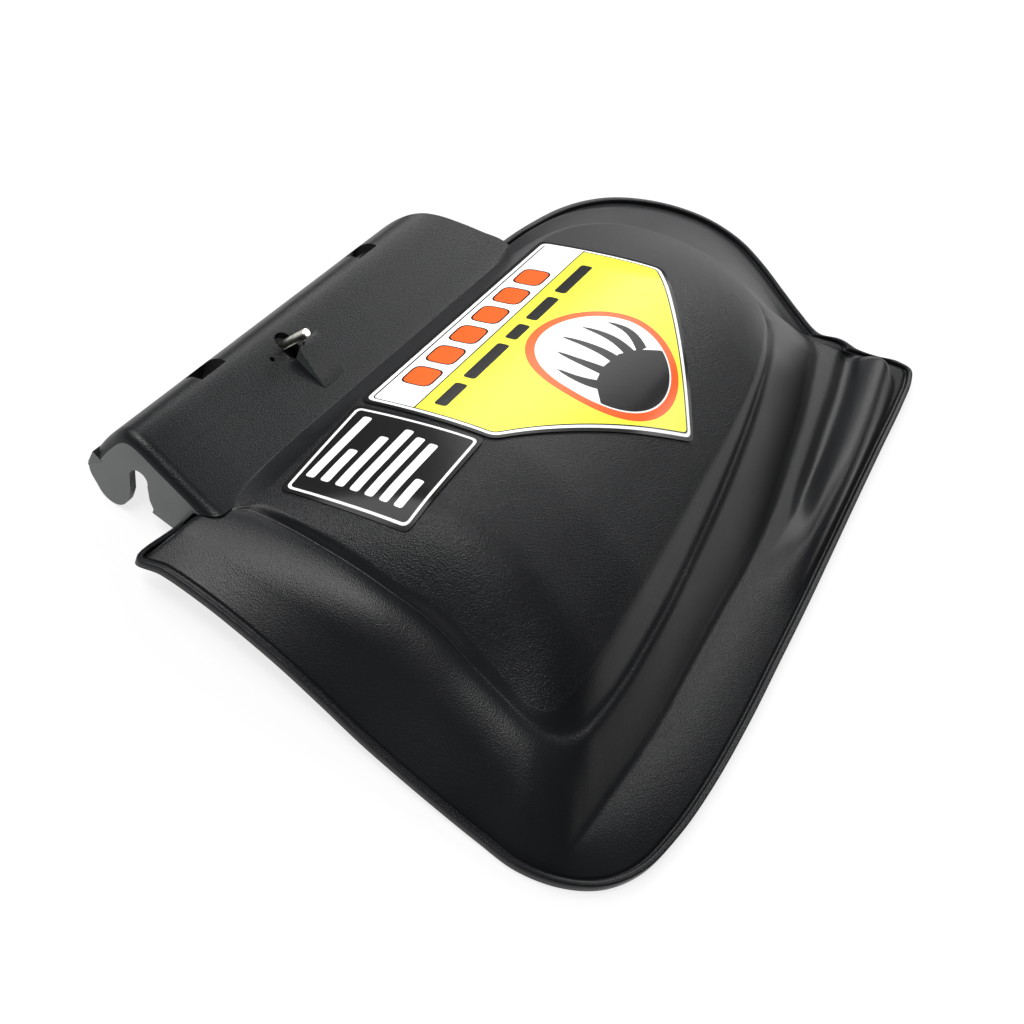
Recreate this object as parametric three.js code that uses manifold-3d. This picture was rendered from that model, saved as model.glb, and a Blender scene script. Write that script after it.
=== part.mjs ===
// Hinged side cover plug for a mulching mower: one black moulding, its torsion spring and two labels.
// Millimetres, +Z up. The hinge axis runs along Y and the cover reaches from it towards +X.
import * as THREE from 'three';
import { mergeVertices } from 'three/addons/utils/BufferGeometryUtils.js';
import Module from 'manifold-3d';

const wasm = await Module();
wasm.setup();

// Driving dimensions of the moulding
const WALL = 2.6;
const RIM_HEIGHT = 3.2;
const RIM_WIDTH = 2.2;
const RIM_STEP = 1.2;
const HINGE_WALL = 2.8;
const HINGE_LENGTH = 196;
const END_FILLET = 4.5;
const ROD_X = -28;
const ROD_Z = -10.6;
const ROD_SEAT_RADIUS = 3.7;
const WIRE_DIAMETER = 3.3;
const COIL_RADIUS = 6.6;
const COIL_TURNS = 5;
const LABEL_THICKNESS = 0.3;
const FIT_GAP = 0.3;
const SAMPLES_PER_SPOKE = 2;
const DOME_STEPS = [0.07, 0.16, 0.28, 0.42, 0.58, 0.76, 0.92];
const DOME_RING_COUNT = DOME_STEPS.length + 1;
const DOME_CENTRE = [62, 128];

// Crown of the dome across the hinge axis, as pairs of x and height
const CROWN = [[-4, 2], [9, 9], [20, 14.9], [31, 20.4], [42, 25.4], [53, 29.6], [63, 32], [75, 32.2],
  [88, 29.9], [102, 24.9], [114, 19.4], [126, 11.6], [140, 2]];
// Further drop of the dome at its near and far edge, as pairs of x and drop
const NEAR_DROP = [[-4, 0], [9, 0.4], [32, 6.5], [60, 15], [75, 17.5], [93, 17], [107, 12.5], [117, 8], [126, 4]];
const FAR_DROP = [[-4, 0], [9, 3], [17, 7], [34, 12.8], [54, 17], [67, 19], [87, 20.5], [102, 24], [126, 26]];

// Spokes of the cover from its rim to its dome, counter-clockwise from the near left corner.
// Each row is the rim's top edge, the shelf of the flange, the foot of the step and the dome's edge.
const SPOKES = [
  [[-10.5, -20.5, -15.4], [-5, -6, -8.4], [0.6, 7, -4.2], [5.6, 11.6]],
  [[-1, -20.5, -12.3], [2, -6, -7.4], [6, 10, -2.6], [9, 13.4]],
  [[15, -20.5, -11.2], [16, -6, -5.6], [17, 11.6, 0.2], [18, 13.6]],
  [[31, -20.5, -11.9], [32, -6, -4.4], [32, 11.8, 3.2], [32.5, 13.4]],
  [[47, -20.5, -13.6], [47, -5, -3.1], [46, 11.4, 5.6], [46, 13]],
  [[63, -20.5, -16.4], [61, -4, -3.3], [60, 11.4, 6.2], [60, 12.8]],
  [[80, -20.5, -19.8], [77, -3, -5.4], [75, 12.6, 5], [75, 14.2]],
  [[96, -20.5, -21.8], [94, -3, -8.3], [93, 11.4, 1.2], [93, 13.6]],
  [[112, -20.5, -23.2], [109, -4, -9.6], [107, 10, -0.8], [107, 12.2]],
  [[127, -20.5, -24], [122, -6, -11.4], [116.6, 9, -1.8], [116, 11.2]],
  [[141, -20.2, -24.3], [134, -9, -15], [123, 10, -2.2], [120.8, 13.4]],
  [[155, -15.5, -24.3], [149.5, -8, -20.6], [128.5, 13.5, -2.4], [122.6, 17]],
  [[166.5, -6.5, -24.3], [151, 3, -20.2], [132, 19, -2.5], [123.6, 22]],
  [[174, 7, -24.2], [151.2, 18, -19.7], [133, 29, -2.6], [124, 31]],
  [[177.5, 27, -24.1], [151.5, 37, -19.5], [133, 46, -2], [123, 47]],
  [[178.5, 52, -24], [150.8, 60, -19.5], [131.5, 65, 0], [121.5, 65]],
  [[177.4, 86, -24], [148.6, 86, -19.3], [129.4, 84.6, 2.6], [119.8, 83]],
  [[175.2, 118, -24], [146.6, 114, -19.1], [126.2, 106, 5], [117.6, 104]],
  [[172.9, 150, -24], [144.4, 146, -19], [121, 136.6, 10], [113.8, 135]],
  [[170, 184, -24], [140.2, 178, -19], [115.4, 163.6, 14.6], [110.6, 162]],
  [[167, 218, -23.8], [133.5, 211, -19], [109, 189.4, 18.6], [106, 188]],
  [[163.8, 256, -23.6], [127, 240, -19.2], [105, 205.6, 18], [102.4, 204]],
  [[161, 290, -23.4], [121, 262, -19.4], [101.6, 216.4, 15.8], [99.4, 214.5]],
  [[158.6, 308, -23.2], [118, 272, -19.5], [100, 222, 14.3], [98, 220]],
  [[155.5, 315, -23], [116.4, 277, -19.6], [98.4, 226.4, 13.1], [96.6, 224.4]],
  [[149, 314, -22.6], [114.6, 280, -19.6], [96.6, 230.2, 12.3], [94.8, 228]],
  [[140, 307, -22], [112.8, 282, -19.5], [94.2, 234, 11.8], [92.6, 231.6]],
  [[131, 302, -21.4], [110.6, 282.6, -19], [91.4, 237, 11.4], [90, 234.6]],
  [[123, 300.5, -20.8], [107.6, 281, -17.6], [88.2, 239.4, 11.4], [87, 237]],
  [[113, 292.5, -19.4], [102, 275, -14.6], [83.8, 241.6, 11.8], [83, 239]],
  [[101, 294, -17], [90, 278, -10.4], [76.4, 244, 11.5], [76, 241.4]],
  [[90, 296.4, -14.4], [81, 280, -7.6], [70.2, 245.2, 11.9], [70, 242.6]],
  [[76, 299.4, -11], [70, 281, -4.6], [63, 245.6, 11.6], [63, 243]],
  [[62, 300.6, -8.2], [58, 281, -2.6], [53.6, 245, 11.6], [54, 242.4]],
  [[47, 296.6, -5.6], [46, 278, -1], [43.4, 243.6, 10.6], [44, 241]],
  [[32.6, 288.4, -4], [33, 271, -0.2], [33, 240, 9], [34, 237.6]],
  [[20, 277.2, -3], [21.6, 261, 0.2], [23.6, 234.6, 8.2], [25, 232.4]],
  [[9.6, 264, -2.4], [12, 249, 0.6], [15.2, 225.8, 7.4], [17, 224]],
  [[2.6, 249.4, -1.8], [5.4, 237, 0.8], [9, 216.2, 6], [11, 214.6]],
  [[-2, 234, -1.4], [0.8, 224, 0.8], [5, 206.4, 4.4], [7.6, 205]],
  [[-5.2, 215, -1.4], [-2.4, 208, 0], [2.4, 197.6, 2.2], [6.4, 196]],
  [[-7.4, 199, -3], [-4.4, 194, -2.6], [-0.8, 182, -1.8], [6, 180]],
  [[-8, 176, -4.6], [-4.8, 172, -3.6], [-1.4, 162, -2.6], [6.2, 160]],
  [[-8, 140, -4.6], [-4.8, 136, -3.6], [-1.4, 130, -2.6], [6.2, 128]],
  [[-8, 100, -4.6], [-4.8, 98, -3.6], [-1.4, 96, -2.6], [6.2, 96]],
  [[-8, 60, -4.6], [-4.8, 62, -3.6], [-1.4, 66, -2.6], [6.4, 66]],
  [[-8, 28, -4.6], [-4.8, 32, -3.6], [-1.4, 38, -2.6], [6.4, 40]],
  [[-8.4, 10, -5.8], [-4.4, 15, -4.2], [-0.6, 19, -2.8], [6.4, 19.6]],
  [[-10, 0, -15], [-5, 5, -6.6], [-0.4, 11, -3.4], [5.4, 13.4]],
];

// Bead and valley along the outer strip of the flange, as pairs of y and x
const BEAD_LINE = [[120, 161], [162, 160], [179, 159.4], [206, 157.3], [233.5, 154.4], [265, 149.4],
  [293, 144], [320, 139]];
const VALLEY_LINE = [[120, 162], [173, 155], [194.5, 149.6], [223, 144.2], [243, 140.4], [267, 136], [286, 131.6],
  [320, 124]];
const BEAD_HEIGHT = 8.6;
const BEAD_HALF_WIDTH = 10.4;
const VALLEY_DEPTH = 3.6;
const VALLEY_HALF_WIDTH = 6;
// The bead and the valley grow between two positions along y, and end in a round nose of a given length
const BEAD_RISE = [135, 225];
const VALLEY_RISE = [165, 212];
const NOSE_START = 293;
const NOSE_LENGTH = 11;
const STRIP_INNER_X = 112;

// How sharply the flank and the strip fall, as pairs of spoke number and exponent
const FLANK_FALL = [[0, 1.5], [3, 1.7], [9, 1.6], [12, 1.1], [22, 1.1], [26, 1.1], [30, 1.1], [40, 1], [49, 1.5]];
const STRIP_FALL = [[0, 1], [10, 1], [13, 1.6], [24, 1.6], [29, 1.1], [49, 1]];
// Width of the flat ledge between the flank and the foot of the step, as pairs of spoke number and width
const LEDGE = [[0, 0.5], [9, 0.5], [12, 2.4], [23, 2.4], [27, 0.5], [49, 0.5]];

// Reach of the cover beyond the crease, and its whole length along the hinge axis. The spokes are drawn for one
// size, and beyond the dome's root and the hinge's far end they are fitted to these two.
const COVER_REACH = 178.5;
const COVER_LENGTH = 335.5;
const DRAWN_REACH = Math.max(...SPOKES.map(([rim]) => rim[0]));
const DRAWN_FAR_END = Math.max(...SPOKES.map(([rim]) => rim[1]));
const NEAR_END = Math.min(...SPOKES.map(([rim]) => rim[1]));
const PLAIN_X = CROWN[1][0];
const PLAIN_Y = HINGE_LENGTH + 1;

// Section of the hinge block: skin from the crease over the crest, then the two lobes and the rod seat
const SKIN = [[2, -3.2], [-3, -2.4], [-12, -0.2], [-22, 2.3], [-31, 4.5], [-35, 4.6], [-38.2, 3.4], [-41, 0.6],
  [-43.2, -3.7], [-45, -8.2], [-46.5, -13]];
const LOBES = [[-47.2, -18.5], [-45.4, -22.4], [-42.2, -25.2], [-39.2, -27.6], [-36, -28.5], [-33.2, -28],
  [-31, -26.2], [-29.8, -23.4], [-29.6, -18]];
const LOBES_AFTER_SEAT = [[-22.2, -15.6], [-20, -18.2], [-17.2, -19.5], [-14, -19.8], [-9.8, -19], [-8.6, -14],
  [-6.4, -7]];
const CHANNEL_EDGE_Z = -20;
// Height above and below the hinge axis that a cutting prism spans
const CUTTER_REACH = 60;

// Far end of the hinge block in plan: the crest corner is swept back
const FAR_END_PLAN = [[8, 196], [-6.5, 195.6], [-14, 190.4], [-22, 184.6], [-30, 177.6], [-36.4, 170.4],
  [-41, 162.4], [-46, 148], [-60, 130]];
const RIB_POSITIONS = [24, 52, 84, 122, 158];
const RIB_THICKNESS = 2.4;
const BOSS_RADIUS = COIL_RADIUS - WIRE_DIAMETER / 2 - FIT_GAP;
const BOSS_BORE_RADIUS = 3.3;

// Windows through the crest, oval hole, catch hood and pin hole of the hinge block
const WINDOW_SPANS = [[37, 50], [130.5, 142]];
const WINDOW_OUTER_X = -42.6;
const WINDOW_INNER_X = -35.4;
const HOLE_X = -26.6;
const HOLE_Y = 74;
const HOLE_LENGTH = 11;
const HOLE_WIDTH = 7;
const HOOD_FRONT_X = -23;
const HOOD_BACK_X = -7.6;
const HOOD_NEAR_Y = 72.4;
const HOOD_WIDTH = 12;
const HOOD_TOP_Z = 6.8;
const HOOD_WALL = 1.6;
const PIN_HOLE_X = -26.2;
const PIN_HOLE_Y = 64.3;
const PIN_HOLE_DIAMETER = 1.8;
const ARM_ANGLE = Math.atan2(9.7, 5.5);
const ARM_LENGTH = 25;
const ARM_Y = 73.6;
const LEG_LENGTH = 11;

// Labels in plan: the large five-sided one and the small square one
const LARGE_LABEL = [[7, 68.2], [7, 196.4], [54.1, 198.4], [104.8, 131.9], [54, 68.1]];
const SMALL_LABEL = [[7.2, 65.8], [52, 66.8], [53.3, 23.4], [9.6, 20.7]];

function clamp(value, low, high) {
  return Math.min(Math.max(value, low), high);
}

function smoothstep(low, high, value) {
  const t = clamp((value - low) / (high - low), 0, 1);
  return t * t * (3 - 2 * t);
}

// Smooth curve through pairs, read as a function of the first value
function readPairs(pairs, at) {
  const last = pairs.length - 1;
  let k = 0;
  while (k < last - 1 && at > pairs[k + 1][0]) {
    k += 1;
  }
  const slope = (i) => {
    const a = pairs[Math.max(i - 1, 0)];
    const b = pairs[Math.min(i + 1, last)];
    return (b[1] - a[1]) / (b[0] - a[0]);
  };
  const [x0, y0] = pairs[k];
  const [x1, y1] = pairs[k + 1];
  const span = x1 - x0;
  const t = clamp((at - x0) / span, 0, 1);
  const t2 = t * t;
  const t3 = t2 * t;
  return y0 * (2 * t3 - 3 * t2 + 1) + slope(k) * span * (t3 - 2 * t2 + t)
    + y1 * (3 * t2 - 2 * t3) + slope(k + 1) * span * (t3 - t2);
}

// Height of the dome's surface, falling towards the near and the far end
function domeHeight(x, y) {
  const tilt = 8.5 * Math.pow(Math.max(70 - y, 0) / 57, 1.2);
  const nearDrop = readPairs(NEAR_DROP, x) * Math.pow(Math.max(38 - y, 0) / 26, 1.8);
  const farDrop = readPairs(FAR_DROP, x) * Math.pow(Math.max(y - 185, 0) / 62, 1.7);
  return readPairs(CROWN, x) - tilt - nearDrop - farDrop;
}

function mixPoints(a, b, t) {
  return new THREE.Vector3().lerpVectors(a, b, t);
}

// Raised bead and sunken valley of the outer strip; edge is 0 on the rim and 1 at the shelf
function stripLift(x, y, edge) {
  if (x < STRIP_INNER_X) {
    return 0;
  }
  const nose = clamp((y - NOSE_START) / NOSE_LENGTH, 0, 1);
  const bump = (line, halfWidth, power) => {
    const t = Math.hypot((x - readPairs(line, y)) / halfWidth, nose);
    return t < 1 ? Math.pow(Math.cos((t * Math.PI) / 2), power) : 0;
  };
  const bead = BEAD_HEIGHT * smoothstep(...BEAD_RISE, y) * bump(BEAD_LINE, BEAD_HALF_WIDTH, 1.2);
  const valley = VALLEY_DEPTH * smoothstep(...VALLEY_RISE, y) * bump(VALLEY_LINE, VALLEY_HALF_WIDTH, 2);
  return (bead - valley) * smoothstep(0, 0.12, edge);
}

// Plan position of a drawn point in a cover of the given reach and length
function fitPlan([x, y]) {
  const alongX = (COVER_REACH - PLAIN_X) / (DRAWN_REACH - PLAIN_X);
  const alongY = (NEAR_END + COVER_LENGTH - PLAIN_Y) / (DRAWN_FAR_END - PLAIN_Y);
  return [x > PLAIN_X ? PLAIN_X + (x - PLAIN_X) * alongX : x, y > PLAIN_Y ? PLAIN_Y + (y - PLAIN_Y) * alongY : y];
}

function loopOf(column) {
  const points = SPOKES.map((spoke) => new THREE.Vector3(...spoke[column]).setZ(spoke[column][2] ?? 0));
  return new THREE.CatmullRomCurve3(points, true, 'centripetal');
}

// Rings of the cover's upper face, each with the same number of points, and how far the bead lifts each point
function upperRings(samplesPerSpoke) {
  const count = SPOKES.length * samplesPerSpoke;
  const loops = [0, 1, 2, 3].map(loopOf);
  const stripSteps = [0, 0.07, 0.15, 0.23, 0.31, 0.39, 0.47, 0.55, 0.64, 0.74, 0.86];
  const flankSteps = [0, 0.33, 0.67, 1];
  const rings = [];
  const lifts = [];
  const stations = [];
  for (let i = 0; i < count; i += 1) {
    stations.push(loops.map((loop) => loop.getPoint(i / count)));
  }
  const addRing = (pointOf, liftOf = () => 0) => {
    const ring = stations.map(pointOf);
    rings.push(ring);
    lifts.push(ring.map(liftOf));
  };
  const stepIn = ([edge, shelf], distance) => {
    const inward = shelf.clone().sub(edge).setZ(0).normalize();
    return edge.clone().addScaledVector(inward, distance);
  };
  const rimFoot = stations.map((station) => stepIn(station, RIM_WIDTH + 0.5).setZ(station[0].z - RIM_STEP));
  const ledgeEdge = stations.map(([, shelf, foot], i) => {
    const width = Math.hypot(foot.x - shelf.x, foot.y - shelf.y);
    return mixPoints(foot, shelf, readPairs(LEDGE, i / samplesPerSpoke) / width).setZ(foot.z);
  });
  addRing(([edge]) => edge.clone());
  addRing((station) => stepIn(station, RIM_WIDTH));
  stripSteps.forEach((t) => {
    addRing(([, shelf], i) => {
      const fall = readPairs(STRIP_FALL, i / samplesPerSpoke);
      return mixPoints(rimFoot[i], shelf, t).setZ(shelf.z + (rimFoot[i].z - shelf.z) * Math.pow(1 - t, fall));
    }, (p) => stripLift(p.x, p.y, t));
  });
  flankSteps.forEach((t) => {
    addRing(([, shelf, foot], i) => {
      const fall = readPairs(FLANK_FALL, i / samplesPerSpoke);
      return mixPoints(shelf, ledgeEdge[i], t).setZ(foot.z + (shelf.z - foot.z) * Math.pow(1 - t, fall));
    }, (p, i) => stripLift(stations[i][1].x, stations[i][1].y, 1) * (1 - t));
  });
  addRing(([, , foot]) => foot.clone());
  addRing(([, , , top]) => top.clone().setZ(domeHeight(top.x, top.y)));
  const centre = new THREE.Vector3(...DOME_CENTRE, 0);
  DOME_STEPS.forEach((t) => {
    addRing(([, , , top]) => {
      const p = mixPoints(top, centre, t);
      return p.setZ(domeHeight(p.x, p.y));
    });
  });
  rings.forEach((ring) => ring.forEach((p) => p.set(...fitPlan([p.x, p.y]), p.z)));
  return { rings, lifts, centre: centre.set(...fitPlan(DOME_CENTRE), domeHeight(...DOME_CENTRE)) };
}

// Closed mesh of the cover: the upper rings and their copy offset by the wall along the normals
function coverShell(samplesPerSpoke) {
  const { rings, lifts, centre } = upperRings(samplesPerSpoke);
  const count = rings[0].length;
  const inner = rings.slice(2);
  const normalAt = (r, i) => {
    const before = inner[Math.max(r - 1, 0)][i];
    const after = r + 1 < inner.length ? inner[r + 1][i] : centre;
    const left = inner[r][(i + count - 1) % count];
    const right = inner[r][(i + 1) % count];
    const along = right.clone().sub(left);
    const across = after.clone().sub(before);
    return new THREE.Vector3().crossVectors(along, across).normalize();
  };
  const under = inner.map((ring, r) => ring.map((p, i) => {
    if (r === 0) {
      return p.clone().setZ(rings[0][i].z - RIM_HEIGHT);
    }
    const moved = p.clone().addScaledVector(normalAt(r, i), -WALL);
    return moved.setZ(moved.z + lifts[r + 2][i]);
  }));
  const rimBottom = rings[0].map((p) => p.clone().setZ(p.z - RIM_HEIGHT));
  const vertices = [];
  const faces = [];
  const push = (p) => vertices.push(p.x, p.y, p.z);
  rings.forEach((ring, r) => ring.forEach((p, i) => push(p.clone().setZ(p.z + lifts[r][i]))));
  under.forEach((ring) => ring.forEach(push));
  rimBottom.forEach(push);
  const topStart = 0;
  const underStart = rings.length * count;
  const bottomStart = underStart + under.length * count;
  const centreTop = bottomStart + count;
  push(centre);
  push(centre.clone().setZ(centre.z - WALL));
  const quad = (a, b, c, d) => faces.push(a, b, c, a, c, d);
  for (let i = 0; i < count; i += 1) {
    const j = (i + 1) % count;
    for (let r = 0; r + 1 < rings.length; r += 1) {
      const a = topStart + r * count;
      quad(a + i, a + j, a + count + j, a + count + i);
    }
    for (let r = 0; r + 1 < under.length; r += 1) {
      const a = underStart + r * count;
      quad(a + j, a + i, a + count + i, a + count + j);
    }
    quad(bottomStart + i, bottomStart + j, topStart + j, topStart + i);
    quad(bottomStart + j, bottomStart + i, underStart + i, underStart + j);
    const lastTop = topStart + (rings.length - 1) * count;
    faces.push(lastTop + i, lastTop + j, centreTop);
    const lastUnder = underStart + (under.length - 1) * count;
    faces.push(lastUnder + j, lastUnder + i, centreTop + 1);
  }
  const geometry = new THREE.BufferGeometry();
  geometry.setAttribute('position', new THREE.Float32BufferAttribute(vertices, 3));
  geometry.setIndex(faces);
  return geometry;
}

function toManifold(source) {
  const plain = source.index ? source.clone() : mergeVertices(source.clone(), 1e-5);
  plain.deleteAttribute('normal');
  plain.deleteAttribute('uv');
  const merged = mergeVertices(plain, 1e-5);
  return new wasm.Manifold(new wasm.Mesh({
    numProp: 3,
    vertProperties: new Float32Array(merged.attributes.position.array),
    triVerts: new Uint32Array(merged.index.array),
  }));
}

function toGeometry(solid) {
  const mesh = solid.getMesh();
  const geometry = new THREE.BufferGeometry();
  const positions = new Float32Array(mesh.numVert * 3);
  for (let v = 0; v < mesh.numVert; v += 1) {
    for (let k = 0; k < 3; k += 1) {
      positions[v * 3 + k] = mesh.vertProperties[v * mesh.numProp + k];
    }
  }
  geometry.setAttribute('position', new THREE.BufferAttribute(positions, 3));
  geometry.setIndex(new THREE.BufferAttribute(new Uint32Array(mesh.triVerts), 1));
  geometry.computeVertexNormals();
  return geometry;
}

// Solid with a section in x and z, standing between two y positions
function sectionPrism(points, yStart, yEnd) {
  const shape = new THREE.Shape(points.map(([x, z]) => new THREE.Vector2(x, z)));
  const geometry = new THREE.ExtrudeGeometry(shape, { depth: yEnd - yStart, bevelEnabled: false });
  geometry.rotateX(Math.PI / 2);
  geometry.translate(0, yEnd, 0);
  return toManifold(geometry);
}

// Solid with a section in x and y, standing between two heights
function planPrism(points, zStart, zEnd) {
  const shape = new THREE.Shape(points.map(([x, y]) => new THREE.Vector2(x, y)));
  const geometry = new THREE.ExtrudeGeometry(shape, { depth: zEnd - zStart, bevelEnabled: false });
  geometry.translate(0, 0, zStart);
  return toManifold(geometry);
}

function rodCylinder(radius, yStart, yEnd, segments = 28) {
  const geometry = new THREE.CylinderGeometry(radius, radius, yEnd - yStart, segments);
  geometry.translate(ROD_X, (yStart + yEnd) / 2, ROD_Z);
  return toManifold(geometry);
}

function block(x0, x1, y0, y1, z0, z1) {
  const geometry = new THREE.BoxGeometry(x1 - x0, y1 - y0, z1 - z0);
  geometry.translate((x0 + x1) / 2, (y0 + y1) / 2, (z0 + z1) / 2);
  return toManifold(geometry);
}

// Round seat of the rod, open downwards as a notch between the lobes
function rodSeatArc() {
  const points = [];
  for (let k = 0; k <= 8; k += 1) {
    const angle = Math.PI * (1 - k / 8);
    points.push([ROD_X + ROD_SEAT_RADIUS * Math.cos(angle), ROD_Z + ROD_SEAT_RADIUS * Math.sin(angle)]);
  }
  return points;
}

// Moves a section's points inwards along their normals
function insetSection(points, distance) {
  return points.map((p, i) => {
    const a = points[Math.max(i - 1, 0)];
    const b = points[Math.min(i + 1, points.length - 1)];
    const dx = b[0] - a[0];
    const dz = b[1] - a[1];
    const length = Math.hypot(dx, dz);
    return [p[0] - (dz / length) * distance, p[1] + (dx / length) * distance];
  });
}

function hingeBlock() {
  const lobes = [...LOBES, ...rodSeatArc(), ...LOBES_AFTER_SEAT];
  const plate = [...SKIN, ...lobes];
  const channelEnd = [[-47.1, CHANNEL_EDGE_Z], [-10.2, CHANNEL_EDGE_Z], [-8.6, -14], [-6.4, -7]];
  const body = [...SKIN, ...channelEnd];
  const innerSkin = insetSection(SKIN.slice(2), HINGE_WALL);
  const cavity = [...innerSkin, [-44.3, CHANNEL_EDGE_Z - 2], [-13.2, CHANNEL_EDGE_Z - 2], [-11.6, -14],
    [-10.4, -7]];
  const plan = [...FAR_END_PLAN, [-CUTTER_REACH, -5], [8, -5]];
  const innerPlan = FAR_END_PLAN.map(([x, y]) => [x + 1.6, y - HINGE_WALL]);
  innerPlan.push([-58.4, -5], [9.6, -5]);
  const outline = planPrism(plan, -CUTTER_REACH, CUTTER_REACH);
  let solid = sectionPrism(body, 0, HINGE_LENGTH).intersect(outline);
  solid = solid.add(sectionPrism(plate, 0, HINGE_WALL));
  const innerOutline = planPrism(innerPlan, -CUTTER_REACH, CUTTER_REACH);
  const hollow = sectionPrism(cavity, HINGE_WALL, HINGE_LENGTH).intersect(innerOutline);
  return { solid, hollow, plate, outline };
}

// Open notch through the end plate, from the rod's seat down between the lobes
function rodNotch() {
  const left = LOBES[LOBES.length - 1];
  const right = LOBES_AFTER_SEAT[1];
  const outline = [left, ...rodSeatArc(), LOBES_AFTER_SEAT[0], right, [right[0], -40], [left[0], -40]];
  return sectionPrism(outline, -1, HINGE_WALL + 1);
}

// Inner ribs that carry the rod between the walls of the channel
function ribs(plate) {
  const trimmed = sectionPrism(plate, 0, RIB_THICKNESS);
  const shift = (solid, y) => solid.translate([0, y, 0]);
  return RIB_POSITIONS.map((y) => shift(trimmed, y - RIB_THICKNESS / 2));
}

// Cuts the rounded near edge of the hinge block in three facets along its skin
function nearEdgeCutter() {
  const outside = insetSection(SKIN, -6);
  const steps = [[END_FILLET, 0], [END_FILLET * 0.5, END_FILLET * 0.13], [END_FILLET * 0.2, END_FILLET * 0.4],
    [0, END_FILLET]];
  const vertices = [];
  const faces = [];
  const across = steps.length + 2;
  SKIN.forEach((p, i) => {
    const ring = steps.map(([inset, y]) => {
      const q = insetSection(SKIN, inset)[i];
      return [q[0], y - 0.02, q[1]];
    });
    ring.push([outside[i][0], END_FILLET, outside[i][1]], [outside[i][0], -3, outside[i][1]]);
    const low = insetSection(SKIN, END_FILLET)[i];
    ring.unshift([low[0], -3, low[1]]);
    ring.forEach((v) => vertices.push(...v));
  });
  const width = across + 1;
  for (let i = 0; i + 1 < SKIN.length; i += 1) {
    for (let k = 0; k < width; k += 1) {
      const n = (k + 1) % width;
      const a = i * width;
      const b = a + width;
      faces.push(a + k, b + n, a + n, a + k, b + k, b + n);
    }
  }
  const cap = (base, flip) => {
    for (let k = 1; k + 1 < width; k += 1) {
      if (flip) {
        faces.push(base, base + k + 1, base + k);
      } else {
        faces.push(base, base + k, base + k + 1);
      }
    }
  };
  cap(0, false);
  cap((SKIN.length - 1) * width, true);
  const geometry = new THREE.BufferGeometry();
  geometry.setAttribute('position', new THREE.Float32BufferAttribute(vertices, 3));
  geometry.setIndex(faces);
  return geometry;
}

function ovalHole() {
  const shape = new THREE.Shape();
  const straight = (HOLE_LENGTH - HOLE_WIDTH) / 2;
  shape.absarc(HOLE_X + straight, HOLE_Y, HOLE_WIDTH / 2, -Math.PI / 2, Math.PI / 2, false);
  shape.absarc(HOLE_X - straight, HOLE_Y, HOLE_WIDTH / 2, Math.PI / 2, (3 * Math.PI) / 2, false);
  const geometry = new THREE.ExtrudeGeometry(shape, { depth: 14, bevelEnabled: false, curveSegments: 8 });
  geometry.translate(0, 0, -3);
  return toManifold(geometry);
}

// Hood behind the oval hole: a ramp that rises towards the spring arm and is open at its front
function hood() {
  const farY = HOOD_NEAR_Y + HOOD_WIDTH;
  const outer = [[HOOD_FRONT_X, -1], [HOOD_BACK_X, -2.6], [HOOD_BACK_X, -1.2], [HOOD_FRONT_X + 2, HOOD_TOP_Z],
    [HOOD_FRONT_X, HOOD_TOP_Z]];
  const inner = [[HOOD_FRONT_X - 1, 2.4], [HOOD_BACK_X - 4.2, 0.4], [HOOD_FRONT_X + 1.4, HOOD_TOP_Z - HOOD_WALL],
    [HOOD_FRONT_X - 1, HOOD_TOP_Z - HOOD_WALL]];
  const shell = sectionPrism([...outer].reverse(), HOOD_NEAR_Y, farY);
  const mouth = sectionPrism([...inner], HOOD_NEAR_Y + HOOD_WALL, farY - HOOD_WALL);
  return { shell, mouth };
}

function buildCover() {
  const shell = toManifold(coverShell(SAMPLES_PER_SPOKE));
  const { solid, hollow, plate, outline } = hingeBlock();
  const { shell: hoodShell, mouth } = hood();
  const rounded = solid.subtract(toManifold(nearEdgeCutter())).subtract(rodNotch());
  let cover = shell.add(rounded).subtract(hollow);
  const channel = sectionPrism([...SKIN, [-47.2, CHANNEL_EDGE_Z], [-9.8, CHANNEL_EDGE_Z]], 0, HINGE_LENGTH);
  const clip = channel.intersect(outline);
  ribs(plate).forEach((rib) => {
    cover = cover.add(rib.intersect(clip));
  });
  cover = cover.add(rodCylinder(BOSS_RADIUS, RIB_POSITIONS[1], RIB_POSITIONS[2]));
  cover = cover.subtract(rodCylinder(BOSS_BORE_RADIUS, RIB_POSITIONS[1] - 3, RIB_POSITIONS[2] + 3));
  cover = cover.add(hoodShell).subtract(mouth).subtract(ovalHole());
  WINDOW_SPANS.forEach(([y0, y1]) => {
    cover = cover.subtract(block(WINDOW_OUTER_X, WINDOW_INNER_X, y0, y1, -9, 9));
  });
  const pin = new THREE.CylinderGeometry(PIN_HOLE_DIAMETER / 2, PIN_HOLE_DIAMETER / 2, 12, 12);
  pin.rotateX(Math.PI / 2);
  pin.translate(PIN_HOLE_X, PIN_HOLE_Y, 3);
  return cover.subtract(toManifold(pin));
}

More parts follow.
